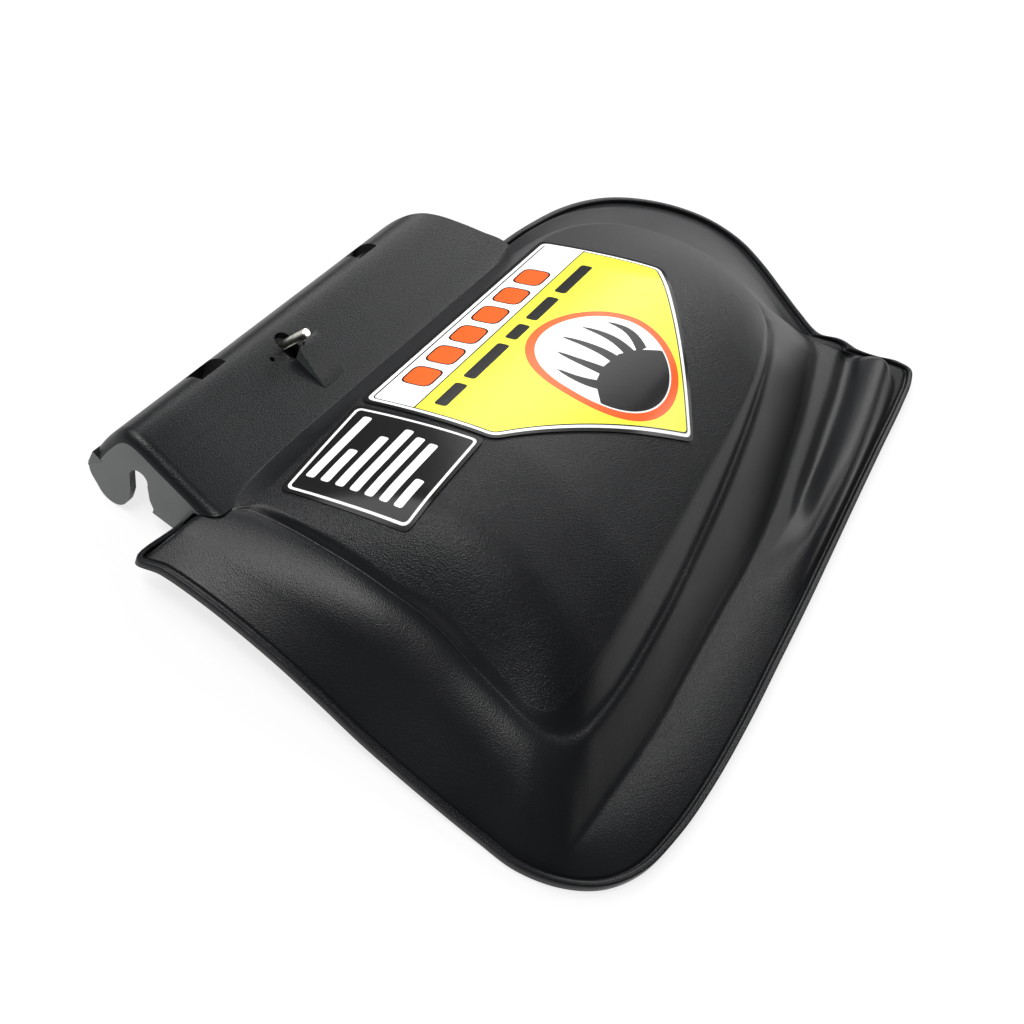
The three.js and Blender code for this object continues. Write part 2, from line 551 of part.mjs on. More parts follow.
// Spring: straight arm up through the oval hole, coil round the rod axis, short leg inside the channel
function springPath() {
  const pitch = WIRE_DIAMETER + 0.12;
  const points = [];
  const armStart = ARM_ANGLE + Math.PI / 2;
  const start = [ROD_X + COIL_RADIUS * Math.cos(armStart), ROD_Z + COIL_RADIUS * Math.sin(armStart)];
  const dx = Math.cos(ARM_ANGLE);
  const dz = Math.sin(ARM_ANGLE);
  [1, 0.66, 0.33, 0.1].forEach((t) => {
    points.push(new THREE.Vector3(start[0] + dx * ARM_LENGTH * t, ARM_Y, start[1] + dz * ARM_LENGTH * t));
  });
  const steps = 14;
  const total = COIL_TURNS * steps + 3;
  for (let k = 0; k <= total; k += 1) {
    const angle = armStart + (k / steps) * 2 * Math.PI;
    points.push(new THREE.Vector3(
      ROD_X + COIL_RADIUS * Math.cos(angle),
      ARM_Y - (pitch * k) / steps,
      ROD_Z + COIL_RADIUS * Math.sin(angle),
    ));
  }
  const endAngle = armStart + (total / steps) * 2 * Math.PI;
  const tail = points[points.length - 1];
  [0.3, 0.65, 1].forEach((t) => {
    points.push(new THREE.Vector3(
      tail.x - Math.sin(endAngle) * LEG_LENGTH * t,
      tail.y - 0.3 * t,
      tail.z + Math.cos(endAngle) * LEG_LENGTH * t,
    ));
  });
  return new THREE.CatmullRomCurve3(points, false, 'centripetal');
}

function buildSpring() {
  const circle = new THREE.Shape();
  circle.absarc(0, 0, WIRE_DIAMETER / 2, 0, Math.PI * 2, false);
  return new THREE.ExtrudeGeometry(circle, {
    steps: 130,
    curveSegments: 5,
    bevelEnabled: false,
    extrudePath: springPath(),
  });
}

// Thin sheet that lies over the dome with a plan outline
function labelSheet(outline) {
  const { rings, centre } = upperRings(SAMPLES_PER_SPOKE);
  const dome = rings.slice(rings.length - DOME_RING_COUNT);
  const count = dome[0].length;
  const vertices = [];
  const faces = [];
  const lifts = [FIT_GAP, FIT_GAP + LABEL_THICKNESS];
  lifts.forEach((lift) => {
    dome.forEach((ring) => ring.forEach((p) => vertices.push(p.x, p.y, p.z + lift)));
    vertices.push(centre.x, centre.y, centre.z + lift);
  });
  const layer = dome.length * count + 1;
  for (let i = 0; i < count; i += 1) {
    const j = (i + 1) % count;
    for (let r = 0; r + 1 < dome.length; r += 1) {
      const a = r * count;
      faces.push(layer + a + i, layer + a + j, layer + a + count + j);
      faces.push(layer + a + i, layer + a + count + j, layer + a + count + i);
      faces.push(a + i, a + count + j, a + j);
      faces.push(a + i, a + count + i, a + count + j);
    }
    const last = (dome.length - 1) * count;
    faces.push(layer + last + i, layer + last + j, layer + layer - 1);
    faces.push(last + j, last + i, layer - 1);
    faces.push(i, j, layer + j);
    faces.push(i, layer + j, layer + i);
  }
  const geometry = new THREE.BufferGeometry();
  geometry.setAttribute('position', new THREE.Float32BufferAttribute(vertices, 3));
  geometry.setIndex(faces);
  return toManifold(geometry).intersect(planPrism(outline.map(fitPlan), -CUTTER_REACH, CUTTER_REACH));
}

const materials = {
  moulding: new THREE.MeshStandardMaterial({ color: 0x17181a, roughness: 0.5, metalness: 0 }),
  spring: new THREE.MeshStandardMaterial({ color: 0xb9bcb8, roughness: 0.3, metalness: 1 }),
  large: new THREE.MeshStandardMaterial({ color: 0xf2ea2a, roughness: 0.25, metalness: 0 }),
  small: new THREE.MeshStandardMaterial({ color: 0x101010, roughness: 0.25, metalness: 0 }),
};

const group = new THREE.Group();

function addMesh(name, geometry, material) {
  const mesh = new THREE.Mesh(geometry, material);
  mesh.name = name;
  group.add(mesh);
}

addMesh('cover', toGeometry(buildCover()), materials.moulding);
addMesh('torsion_spring', toGeometry(toManifold(buildSpring())), materials.spring);
addMesh('large_label', toGeometry(labelSheet(LARGE_LABEL)), materials.large);
addMesh('small_label', toGeometry(labelSheet(SMALL_LABEL)), materials.small);

// The origin is the middle of the bottom of the whole object
const bounds = new THREE.Box3().setFromObject(group);
const middle = bounds.getCenter(new THREE.Vector3());
group.children.forEach((mesh) => mesh.geometry.translate(-middle.x, -middle.y, -bounds.min.z));

export default group;
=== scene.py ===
import math

import bmesh
import bpy
import numpy as np
from mathutils import Matrix, Vector
from mathutils.geometry import delaunay_2d_cdt


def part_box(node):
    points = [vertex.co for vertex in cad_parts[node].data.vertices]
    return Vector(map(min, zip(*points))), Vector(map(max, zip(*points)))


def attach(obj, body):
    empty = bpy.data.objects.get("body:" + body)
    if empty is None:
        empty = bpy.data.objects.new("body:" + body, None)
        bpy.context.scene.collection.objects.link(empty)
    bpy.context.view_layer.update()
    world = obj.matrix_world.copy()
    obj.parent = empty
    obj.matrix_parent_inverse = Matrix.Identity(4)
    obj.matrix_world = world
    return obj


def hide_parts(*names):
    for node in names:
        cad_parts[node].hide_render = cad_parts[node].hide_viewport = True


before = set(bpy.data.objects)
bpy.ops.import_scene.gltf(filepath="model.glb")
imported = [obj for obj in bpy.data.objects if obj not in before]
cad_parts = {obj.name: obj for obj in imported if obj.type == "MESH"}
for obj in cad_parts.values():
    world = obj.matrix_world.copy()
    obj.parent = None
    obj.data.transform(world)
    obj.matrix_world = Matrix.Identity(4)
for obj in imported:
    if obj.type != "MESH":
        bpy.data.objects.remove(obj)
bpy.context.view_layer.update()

# Sizes in millimetres, in the moulding's own axes: x from the crease, y along the hinge, z up
MM = 0.001
WALL = 2.6
RIM_HEIGHT = 3.2
RIM_WIDTH = 2.2
GROOVE_WIDTH = 1.4
GROOVE_DEPTH = 1.9
STRIP_DROP = 1.1
HINGE_WALL = 2.8
HINGE_LENGTH = 196
END_FILLET = 4.5
ROD_X = -28
ROD_Z = -10.6
ROD_SEAT_RADIUS = 3.7
WIRE_DIAMETER = 3.3
COIL_RADIUS = 6.6
COIL_TURNS = 5
WIRE_CHAMFER = 0.35
FIT_GAP = 0.3
LABEL_THICKNESS = 0.3
STATIONS_PER_SPOKE = 8

# Crown of the dome across the hinge axis, as pairs of x and height
CROWN = [[-4, 2], [9, 9], [20, 14.9], [31, 20.4], [42, 25.4], [53, 29.6], [63, 32], [75, 32.2],
         [88, 29.9], [102, 24.9], [114, 19.4], [126, 11.6], [140, 2]]
# How far the dome falls in all at its near and its far end, as pairs of x and height
NEAR_DROP = [[-4, 0], [9, 0.4], [32, 6.5], [60, 15], [75, 17.5], [93, 17], [107, 12.5], [117, 8], [126, 4]]
FAR_DROP = [[-4, 0], [9, 3], [17, 7], [34, 12.8], [54, 17], [67, 19], [87, 20.5], [102, 24], [126, 26]]
# Where along y the near and the far fall start, how long each is, and how sharply it bends
NEAR_FALL_START = 38
NEAR_FALL_LENGTH = 26
NEAR_FALL_POWER = 1.8
FAR_FALL_START = 185
FAR_FALL_LENGTH = 62
FAR_FALL_POWER = 1.7
# The whole dome also tilts down towards its near end
TILT_DEPTH = 8.5
TILT_START = 70
TILT_LENGTH = 57
TILT_POWER = 1.2

# Spokes from the rim to the dome: rim edge, shelf of the flange, foot of the step, edge of the dome
SPOKES = [
    [[-10.5, -20.5, -15.4], [-5, -6, -8.4], [0.6, 7, -4.2], [5.6, 11.6]],
    [[-1, -20.5, -12.3], [2, -6, -7.4], [6, 10, -2.6], [9, 13.4]],
    [[15, -20.5, -11.2], [16, -6, -5.6], [17, 11.6, 0.2], [18, 13.6]],
    [[31, -20.5, -11.9], [32, -6, -4.4], [32, 11.8, 3.2], [32.5, 13.4]],
    [[47, -20.5, -13.6], [47, -5, -3.1], [46, 11.4, 5.6], [46, 13]],
    [[63, -20.5, -16.4], [61, -4, -3.3], [60, 11.4, 6.2], [60, 12.8]],
    [[80, -20.5, -19.8], [77, -3, -5.4], [75, 12.6, 5], [75, 14.2]],
    [[96, -20.5, -21.8], [94, -3, -8.3], [93, 11.4, 1.2], [93, 13.6]],
    [[112, -20.5, -23.2], [109, -4, -9.6], [107, 10, -0.8], [107, 12.2]],
    [[127, -20.5, -24], [122, -6, -11.4], [116.6, 9, -1.8], [116, 11.2]],
    [[141, -20.2, -24.3], [134, -9, -15], [123, 10, -2.2], [120.8, 13.4]],
    [[155, -15.5, -24.3], [149.5, -8, -20.6], [128.5, 13.5, -2.4], [122.6, 17]],
    [[166.5, -6.5, -24.3], [151, 3, -20.2], [132, 19, -2.5], [123.6, 22]],
    [[174, 7, -24.2], [151.2, 18, -19.7], [133, 29, -2.6], [124, 31]],
    [[177.5, 27, -24.1], [151.5, 37, -19.5], [133, 46, -2], [123, 47]],
    [[178.5, 52, -24], [150.8, 60, -19.5], [131.5, 65, 0], [121.5, 65]],
    [[177.4, 86, -24], [148.6, 86, -19.3], [129.4, 84.6, 2.6], [119.8, 83]],
    [[175.2, 118, -24], [146.6, 114, -19.1], [126.2, 106, 5], [117.6, 104]],
    [[172.9, 150, -24], [144.4, 146, -19], [121, 136.6, 10], [113.8, 135]],
    [[170, 184, -24], [140.2, 178, -19], [115.4, 163.6, 14.6], [110.6, 162]],
    [[167, 218, -23.8], [133.5, 211, -19], [109, 189.4, 18.6], [106, 188]],
    [[163.8, 256, -23.6], [127, 240, -19.2], [105, 205.6, 18], [102.4, 204]],
    [[161, 290, -23.4], [121, 262, -19.4], [101.6, 216.4, 15.8], [99.4, 214.5]],
    [[158.6, 308, -23.2], [118, 272, -19.5], [100, 222, 14.3], [98, 220]],
    [[155.5, 315, -23], [116.4, 277, -19.6], [98.4, 226.4, 13.1], [96.6, 224.4]],
    [[149, 314, -22.6], [114.6, 280, -19.6], [96.6, 230.2, 12.3], [94.8, 228]],
    [[140, 307, -22], [112.8, 282, -19.5], [94.2, 234, 11.8], [92.6, 231.6]],
    [[131, 302, -21.4], [110.6, 282.6, -19], [91.4, 237, 11.4], [90, 234.6]],
    [[123, 300.5, -20.8], [107.6, 281, -17.6], [88.2, 239.4, 11.4], [87, 237]],
    [[113, 292.5, -19.4], [102, 275, -14.6], [83.8, 241.6, 11.8], [83, 239]],
    [[101, 294, -17], [90, 278, -10.4], [76.4, 244, 11.5], [76, 241.4]],
    [[90, 296.4, -14.4], [81, 280, -7.6], [70.2, 245.2, 11.9], [70, 242.6]],
    [[76, 299.4, -11], [70, 281, -4.6], [63, 245.6, 11.6], [63, 243]],
    [[62, 300.6, -8.2], [58, 281, -2.6], [53.6, 245, 11.6], [54, 242.4]],
    [[47, 296.6, -5.6], [46, 278, -1], [43.4, 243.6, 10.6], [44, 241]],
    [[32.6, 288.4, -4], [33, 271, -0.2], [33, 240, 9], [34, 237.6]],
    [[20, 277.2, -3], [21.6, 261, 0.2], [23.6, 234.6, 8.2], [25, 232.4]],
    [[9.6, 264, -2.4], [12, 249, 0.6], [15.2, 225.8, 7.4], [17, 224]],
    [[2.6, 249.4, -1.8], [5.4, 237, 0.8], [9, 216.2, 6], [11, 214.6]],
    [[-2, 234, -1.4], [0.8, 224, 0.8], [5, 206.4, 4.4], [7.6, 205]],
    [[-5.2, 215, -1.4], [-2.4, 208, 0], [2.4, 197.6, 2.2], [6.4, 196]],
    [[-7.4, 199, -3], [-4.4, 194, -2.6], [-0.8, 182, -1.8], [6, 180]],
    [[-8, 176, -4.6], [-4.8, 172, -3.6], [-1.4, 162, -2.6], [6.2, 160]],
    [[-8, 140, -4.6], [-4.8, 136, -3.6], [-1.4, 130, -2.6], [6.2, 128]],
    [[-8, 100, -4.6], [-4.8, 98, -3.6], [-1.4, 96, -2.6], [6.2, 96]],
    [[-8, 60, -4.6], [-4.8, 62, -3.6], [-1.4, 66, -2.6], [6.4, 66]],
    [[-8, 28, -4.6], [-4.8, 32, -3.6], [-1.4, 38, -2.6], [6.4, 40]],
    [[-8.4, 10, -5.8], [-4.4, 15, -4.2], [-0.6, 19, -2.8], [6.4, 19.6]],
    [[-10, 0, -15], [-5, 5, -6.6], [-0.4, 11, -3.4], [5.4, 13.4]],
]
DOME_CENTRE = (62, 128)

# Bead and valley along the outer strip of the flange, as pairs of y and x
BEAD_LINE = [[120, 161], [162, 160], [179, 159.4], [206, 157.3], [233.5, 154.4], [265, 149.4], [293, 144],
             [320, 139]]
VALLEY_LINE = [[120, 162], [173, 155], [194.5, 149.6], [223, 144.2], [243, 140.4], [267, 136], [286, 131.6],
               [320, 124]]
BEAD_HEIGHT = 8.6
BEAD_HALF_WIDTH = 10.4
VALLEY_DEPTH = 3.6
VALLEY_HALF_WIDTH = 6
# How steep the sides of the bead and the valley are
BEAD_POWER = 1.2
VALLEY_POWER = 2
# Both grow between two positions along y, and end in a round nose
BEAD_RISE = (135, 225)
VALLEY_RISE = (165, 212)
NOSE_START = 293
NOSE_LENGTH = 11
STRIP_INNER_X = 112
# Share of the strip's width over which they fade out at the rim
STRIP_FADE = 0.12

# How sharply the flank and the strip fall, as pairs of spoke number and exponent
FLANK_FALL = [[0, 1.5], [3, 1.7], [9, 1.6], [12, 1.1], [22, 1.1], [26, 1.1], [30, 1.1], [40, 1], [49, 1.5]]
STRIP_FALL = [[0, 1], [10, 1], [13, 1.6], [24, 1.6], [29, 1.1], [49, 1]]

# Width of the flat ledge between the flank and the foot of the step, as pairs of spoke number and width
LEDGE = [[0, 0.5], [9, 0.5], [12, 2.4], [23, 2.4], [27, 0.5], [49, 0.5]]

# Section of the hinge block in x and z
SKIN = [[2, -3.2], [-3, -2.4], [-12, -0.2], [-22, 2.3], [-31, 4.5], [-35, 4.6], [-38.2, 3.4], [-41, 0.6],
        [-43.2, -3.7], [-45, -8.2], [-46.5, -13]]
LOBES = [[-47.2, -18.5], [-45.4, -22.4], [-42.2, -25.2], [-39.2, -27.6], [-36, -28.5], [-33.2, -28],
         [-31, -26.2], [-29.8, -23.4], [-29.6, -18]]
LOBES_AFTER_SEAT = [[-22.2, -15.6], [-20, -18.2], [-17.2, -19.5], [-14, -19.8], [-9.8, -19], [-8.6, -14],
                    [-6.4, -7]]
# As many of the points after the seat lie on a curve
CURVED_COUNT = 5
# Samples for each span of these curves, and for a half circle
SKIN_STEPS = 5
CURVE_STEPS = 4
ARC_STEPS = 14
# Height of the block's lower edge, the ends of that edge, and the inner side up to the dome
CHANNEL_EDGE_Z = -20
BODY_OUTER_X = -47.1
BODY_INNER_X = -10.2
BODY_SIDE = [[-8.6, -14], [-6.4, -7]]
# The hollow inside the block goes on below that edge, and follows the skin from this point of its curve on
HOLLOW_EDGE_Z = CHANNEL_EDGE_Z - 2
HOLLOW_OUTER_X = -44.3
HOLLOW_INNER_X = -13.2
HOLLOW_SIDE = [[-11.6, -14], [-10.4, -7]]
HOLLOW_SKIN_START = 10
RIB_INNER_X = -9.8
# How far the cutting solids reach, where their plan starts, and how far they pass a wall
CUTTER_REACH = 60
CUTTER_NEAR_Y = -5
CUT_MARGIN = 1
# The strip that rounds the near edge starts and reaches this far outside the block
EDGE_CUT_NEAR_Y = -3
EDGE_CUT_REACH = 6
EDGE_CUT_DEEPER = 0.01
EDGE_CUT_STEPS = 8
# Shift along x from the outer to the inner side of the slanted far wall
FAR_WALL_SHIFT = 1.6
FAR_END_PLAN = [[8, 196], [-6.5, 195.6], [-14, 190.4], [-22, 184.6], [-30, 177.6], [-36.4, 170.4],
                [-41, 162.4], [-46, 148], [-60, 130]]
RIB_POSITIONS = [24, 52, 84, 122, 158]
RIB_THICKNESS = 2.4
BOSS_RADIUS = COIL_RADIUS - WIRE_DIAMETER / 2 - FIT_GAP
BOSS_BORE_RADIUS = 3.3
BORE_MARGIN = 3
WINDOW_SPANS = [[37, 50], [130.5, 142]]
WINDOW_OUTER_X = -42.6
WINDOW_INNER_X = -35.4
WINDOW_CUT_Z = (-9, 9)
HOLE_X = -26.6
HOLE_Y = 74
HOLE_LENGTH = 11
HOLE_WIDTH = 7
HOLE_CUT_Z = (-3, 11)
HOOD_FRONT_X = -23
HOOD_BACK_X = -7.6
HOOD_NEAR_Y = 72.4
HOOD_WIDTH = 12
HOOD_TOP_Z = 6.8
HOOD_WALL = 1.6
# Sections of the hood and of the room in it, in x and z
HOOD_OUTSIDE = [[HOOD_FRONT_X, -1], [HOOD_BACK_X, -2.6], [HOOD_BACK_X, -1.2], [HOOD_FRONT_X + 2, HOOD_TOP_Z],
                [HOOD_FRONT_X, HOOD_TOP_Z]]
HOOD_INSIDE = [[HOOD_FRONT_X - 1, 2.4], [HOOD_BACK_X - 4.2, 0.4],
               [HOOD_FRONT_X + 1.4, HOOD_TOP_Z - HOOD_WALL], [HOOD_FRONT_X - 1, HOOD_TOP_Z - HOOD_WALL]]
PIN_HOLE = (-26.2, 64.3)
PIN_HOLE_RADIUS = 0.9
# Rounding of the block's edges; flat faces that look to the near end are smooth and get a lighter colour as
# painted light, the others are grained
EDGE_ROUND = 0.35
MERGE_DISTANCE = 1e-6
BEVEL_ANGLE = 38
SHADE_ANGLE = 32
PAINTED_LIGHT_FACE_REACH = 0.3
PAINTED_LIGHT_FACE_NORMAL = -0.97
ARM_ANGLE = math.atan2(9.7, 5.5)
ARM_LENGTH = 25
ARM_Y = 73.6
LEG_LENGTH = 11
# The leg moves this far along y on its way out
LEG_DRIFT = 0.3
COIL_GAP = 0.12
WIRE_SIDES = 20
# Points along the arm and the leg, as shares of their length
ARM_SHARES = (1, 0.66, 0.33, 0.1)
LEG_SHARES = (0.3, 0.65, 1)
# Points of the spring's path in each turn, and those beyond the whole turns
COIL_STEPS = 14
COIL_EXTRA_STEPS = 3

# Spacing of the points inside a label, their least distance from its edge, and the step for its slope
SHEET_GRID = 2.0
SHEET_GRID_INSET = 0.4
SLOPE_STEP = 0.5
SHEET_MERGE = 1e-5
LONGEST_SIDE = 1.5
# Limits that keep an outline's sharp corners and short sides in shape
LEAST_BISECTOR = 0.3
CORNER_SHARE = 0.45

# Labels in plan
LARGE_LABEL = [[7, 68.2], [7, 196.4], [54.1, 198.4], [104.8, 131.9], [54, 68.1]]
SMALL_LABEL = [[7.2, 65.8], [52, 66.8], [53.3, 23.4], [9.6, 20.7]]
LABEL_BORDER = 1.4
# Corner radii from the sheet's edge inwards: the white, the line, the field and the band
LABEL_CORNERS = (3, 2.5, 2, 1.8, 1.5)
SMALL_LABEL_CORNERS = (2.5, 2.2, 1.6)
BAR_ROUND_SHARE = 0.3
# Thin black line inside the large label's white edge, and the black field inside the small label's
LINE_INSET = 2.6
FIELD_INSET = 3.15
SMALL_FIELD_INSET = 2.3
# White band along the hinge, with a row of blocks, and a line of bars beside it
BAND_EDGE_X = 24.6
BAND_LINE_WIDTH = 0.5
BLOCK_COUNT = 6
BLOCK_X = 17.2
BLOCK_START = 83.5
BLOCK_PITCH = 15.6
BLOCK_LENGTH = 12.2
BLOCK_WIDTH = 10.6
BLOCK_EDGE = 0.6
BAR_X = 30.8
BAR_WIDTH = 4.4
BAR_SPANS = ((76, 91), (95, 120), (124, 135), (139, 157), (161, 184))
# Ring round the tuft of leaves on its mound; each leaf has its place along y, its length and its lean
RING_CENTRE = (63.3, 132.4)
RING_RADIUS = 28
RING_BAND = 3.2
LEAF_WIDTH = 5.4
LEAF_SPREAD = 1.35
LEAF_ROOT_X = 7
LEAF_TIP_X = 4
LEAF_TAPER = 0.6
LEAF_STEPS = 8
LEAVES = ((-13, 15, 2.5), (-6, 20, 1.5), (1, 23, -0.5), (8, 20, -1.5), (14, 14, -2.5))
MOUND = ((9, -22), (3, -15), (1, -6), (2, 5), (6, 13), (12, 20))
MOUND_ARC = (58, -66)
MOUND_GAP = 0.6
# Bars on the small label
SMALL_BAR_X = 14.6
SMALL_BAR_PITCH = 5.1
SMALL_BAR_WIDTH = 3
SMALL_BAR_START = 29
SMALL_BAR_ENDS = (61, 45, 54, 60, 58, 57, 41)
# Places of the prints in a label's list of materials
BLACK, WHITE, YELLOW, ORANGE = range(4)

# The photograph's camera in the moulding's axes
PHOTO_PIXELS = 1024
FOCAL_PIXELS = 1613.55
CAMERA_PLACE = (134.7, -301.8, 392.4)
CAMERA_RIGHT = (0.8030285, 0.49012408, 0.33900386)
CAMERA_DOWN = (0.58409885, -0.5344795, -0.6108684)
CAMERA_FORWARD = (-0.1182107, 0.6885565, -0.71548318)
SENSOR_MM = 36


def smoothstep(low, high, value):
    t = np.clip((np.asarray(value, float) - low) / (high - low), 0, 1)
    return t * t * (3 - 2 * t)


def read_pairs(pairs, at):
    """Smooth curve through pairs, read as a function of the first value."""
    knots = np.array(pairs, float)
    slope = np.empty(len(knots))
    for i in range(len(knots)):
        a = knots[max(i - 1, 0)]
        b = knots[min(i + 1, len(knots) - 1)]
        slope[i] = (b[1] - a[1]) / (b[0] - a[0])
    at = np.clip(np.asarray(at, float), knots[0, 0], knots[-1, 0])
    k = np.clip(np.searchsorted(knots[:, 0], at, side="right") - 1, 0, len(knots) - 2)
    span = knots[k + 1, 0] - knots[k, 0]
    t = (at - knots[k, 0]) / span
    t2, t3 = t * t, t * t * t
    return (knots[k, 1] * (2 * t3 - 3 * t2 + 1) + slope[k] * span * (t3 - 2 * t2 + t)
            + knots[k + 1, 1] * (3 * t2 - 2 * t3) + slope[k + 1] * span * (t3 - t2))


def dome_height(x, y):
    tilt = TILT_DEPTH * (np.maximum(TILT_START - y, 0) / TILT_LENGTH) ** TILT_POWER
    near_share = (np.maximum(NEAR_FALL_START - y, 0) / NEAR_FALL_LENGTH) ** NEAR_FALL_POWER
    far_share = (np.maximum(y - FAR_FALL_START, 0) / FAR_FALL_LENGTH) ** FAR_FALL_POWER
    near = read_pairs(NEAR_DROP, x) * near_share
    far = read_pairs(FAR_DROP, x) * far_share
    return read_pairs(CROWN, x) - tilt - near - far


def strip_lift(x, y, edge):
    """How far the bead raises and the valley sinks the strip; edge is 0 at the rim and 1 at the shelf."""
    nose = np.clip((y - NOSE_START) / NOSE_LENGTH, 0, 1)

    def bump(line, half_width, power):
        t = np.minimum(np.hypot((x - read_pairs(line, y)) / half_width, nose), 1)
        return np.cos(t * math.pi / 2) ** power
    bead = BEAD_HEIGHT * smoothstep(*BEAD_RISE, y) * bump(BEAD_LINE, BEAD_HALF_WIDTH, BEAD_POWER)
    valley = VALLEY_DEPTH * smoothstep(*VALLEY_RISE, y) * bump(VALLEY_LINE, VALLEY_HALF_WIDTH, VALLEY_POWER)
    return np.where(x < STRIP_INNER_X, 0, (bead - valley) * smoothstep(0, STRIP_FADE, edge))


def spline(points, per, closed):
    """Centripetal curve through the points, with per samples for each span."""
    p = np.array(points, float)
    n = len(p)
    out = []
    for k in range(n if closed else n - 1):
        if closed:
            a, b, c, d = (p[(k + j) % n] for j in (-1, 0, 1, 2))
        else:
            b, c = p[k], p[k + 1]
            a = p[k - 1] if k else 2 * b - c
            d = p[k + 2] if k + 2 < n else 2 * c - b
        d0, d1, d2 = (max(np.linalg.norm(v) ** 0.5, 1e-4) for v in (b - a, c - b, d - c))
        t1 = ((b - a) / d0 - (c - a) / (d0 + d1) + (c - b) / d1) * d1
        t2 = ((c - b) / d1 - (d - b) / (d1 + d2) + (d - c) / d2) * d1
        for j in range(per):
            t = j / per
            out.append(b + t1 * t + (3 * (c - b) - 2 * t1 - t2) * t * t + (2 * (b - c) + t1 + t2) * t ** 3)
    if not closed:
        out.append(p[-1])
    return np.array(out)


loops = []
for column in range(4):
    loops.append(spline([(s[column] + [0])[:3] for s in SPOKES], STATIONS_PER_SPOKE, True))
RIM, SHELF, FOOT, TOP = loops
TOP[:, 2] = dome_height(TOP[:, 0], TOP[:, 1])
COUNT = len(RIM)

cover_low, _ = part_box("cover")
SHIFT = Vector((
    cover_low.x / MM - LOBES[0][0],
    cover_low.y / MM - RIM[:, 1].min(),
    cover_low.z / MM - min(z for _, z in LOBES),
))


def place(points):
    """Points of the moulding's axes in the row frame, in metres."""
    return (np.asarray(points, float) + np.array(SHIFT)) * MM


def mesh_object(name, points, faces, smooth=True):
    """New object in the scene from points of the moulding's axes."""
    mesh = bpy.data.meshes.new(name)
    mesh.from_pydata([tuple(p) for p in place(points)], [], [tuple(f) for f in faces])
    mesh.validate()
    obj = bpy.data.objects.new(name, mesh)
    bpy.context.scene.collection.objects.link(obj)
    if smooth:
        mesh.polygons.foreach_set("use_smooth", [True] * len(mesh.polygons))
    return obj


def ring_faces(ring_count, count, start=0, flip=False):
    """Quads between closed rings of count points each, the first of which has the number start."""
    faces = []
    for r in range(ring_count - 1):
        for i in range(count):
            j = (i + 1) % count
            a = start + r * count
            quad = (a + i, a + j, a + count + j, a + count + i)
            faces.append(quad[::-1] if flip else quad)
    return faces


# Rim section: how far each step lies inwards of the rim's outer edge, and how far above the rim's top
RIM_SECTION = [(0, -RIM_HEIGHT), (0, -1.6), (0, -0.7), (0.12, -0.3), (0.35, -0.07), (0.7, 0), (1.3, 0),
               (1.75, -0.05), (2.05, -0.25), (RIM_WIDTH, -0.6), (2.3, -1.4), (2.5, -GROOVE_DEPTH),
               (3.1, -GROOVE_DEPTH), (3.4, -1.6), (RIM_WIDTH + GROOVE_WIDTH, -STRIP_DROP)]
# The lip's underside starts below this step of the rim section
LIP_STEP = 5
# Rings across the lip's underside, as shares of its width
LIP_SHARES = (0, 0.3, 0.85)
# From the lip inwards, every second ring of the upper face, from the third on, has one of the underside below
UNDER_START = 2
UNDER_STRIDE = 2
STRIP_STEPS = np.linspace(0, 1, 34)[1:]
FLANK_STEPS = np.linspace(0, 1, 28)[1:]
LEDGE_STEPS = np.linspace(0, 1, 7)[1:]
STEP_STEPS = np.linspace(0, 1, 11)[1:]
DOME_EDGE_STEPS = [0.003, 0.007, 0.012, 0.018, 0.026, 0.036, 0.05, 0.068]
DOME_STEPS = np.concatenate([DOME_EDGE_STEPS, np.linspace(0.09, 0.97, 30)])
# Along a slanted spoke the rim's steps are longer, down to this cosine of the slant
LEAST_SLANT = 0.4
# How far the rounding at the shelf, the ledge's edge, the foot of the step and the dome's edge reaches
SHELF_ROUND = 2.2
LEDGE_ROUND = 2
FOOT_ROUND = 1.6
TOP_ROUND = 2
# The rounding takes a number of passes, each of which moves a point by a share of the way to its neighbours
SOFTEN_PASSES = 10
SOFTEN_SHARE = 0.6
# Weight of the rounding at a corner itself, from which it falls to nothing; more than 1 gives it a flat top
SOFTEN_PEAK = 1.2


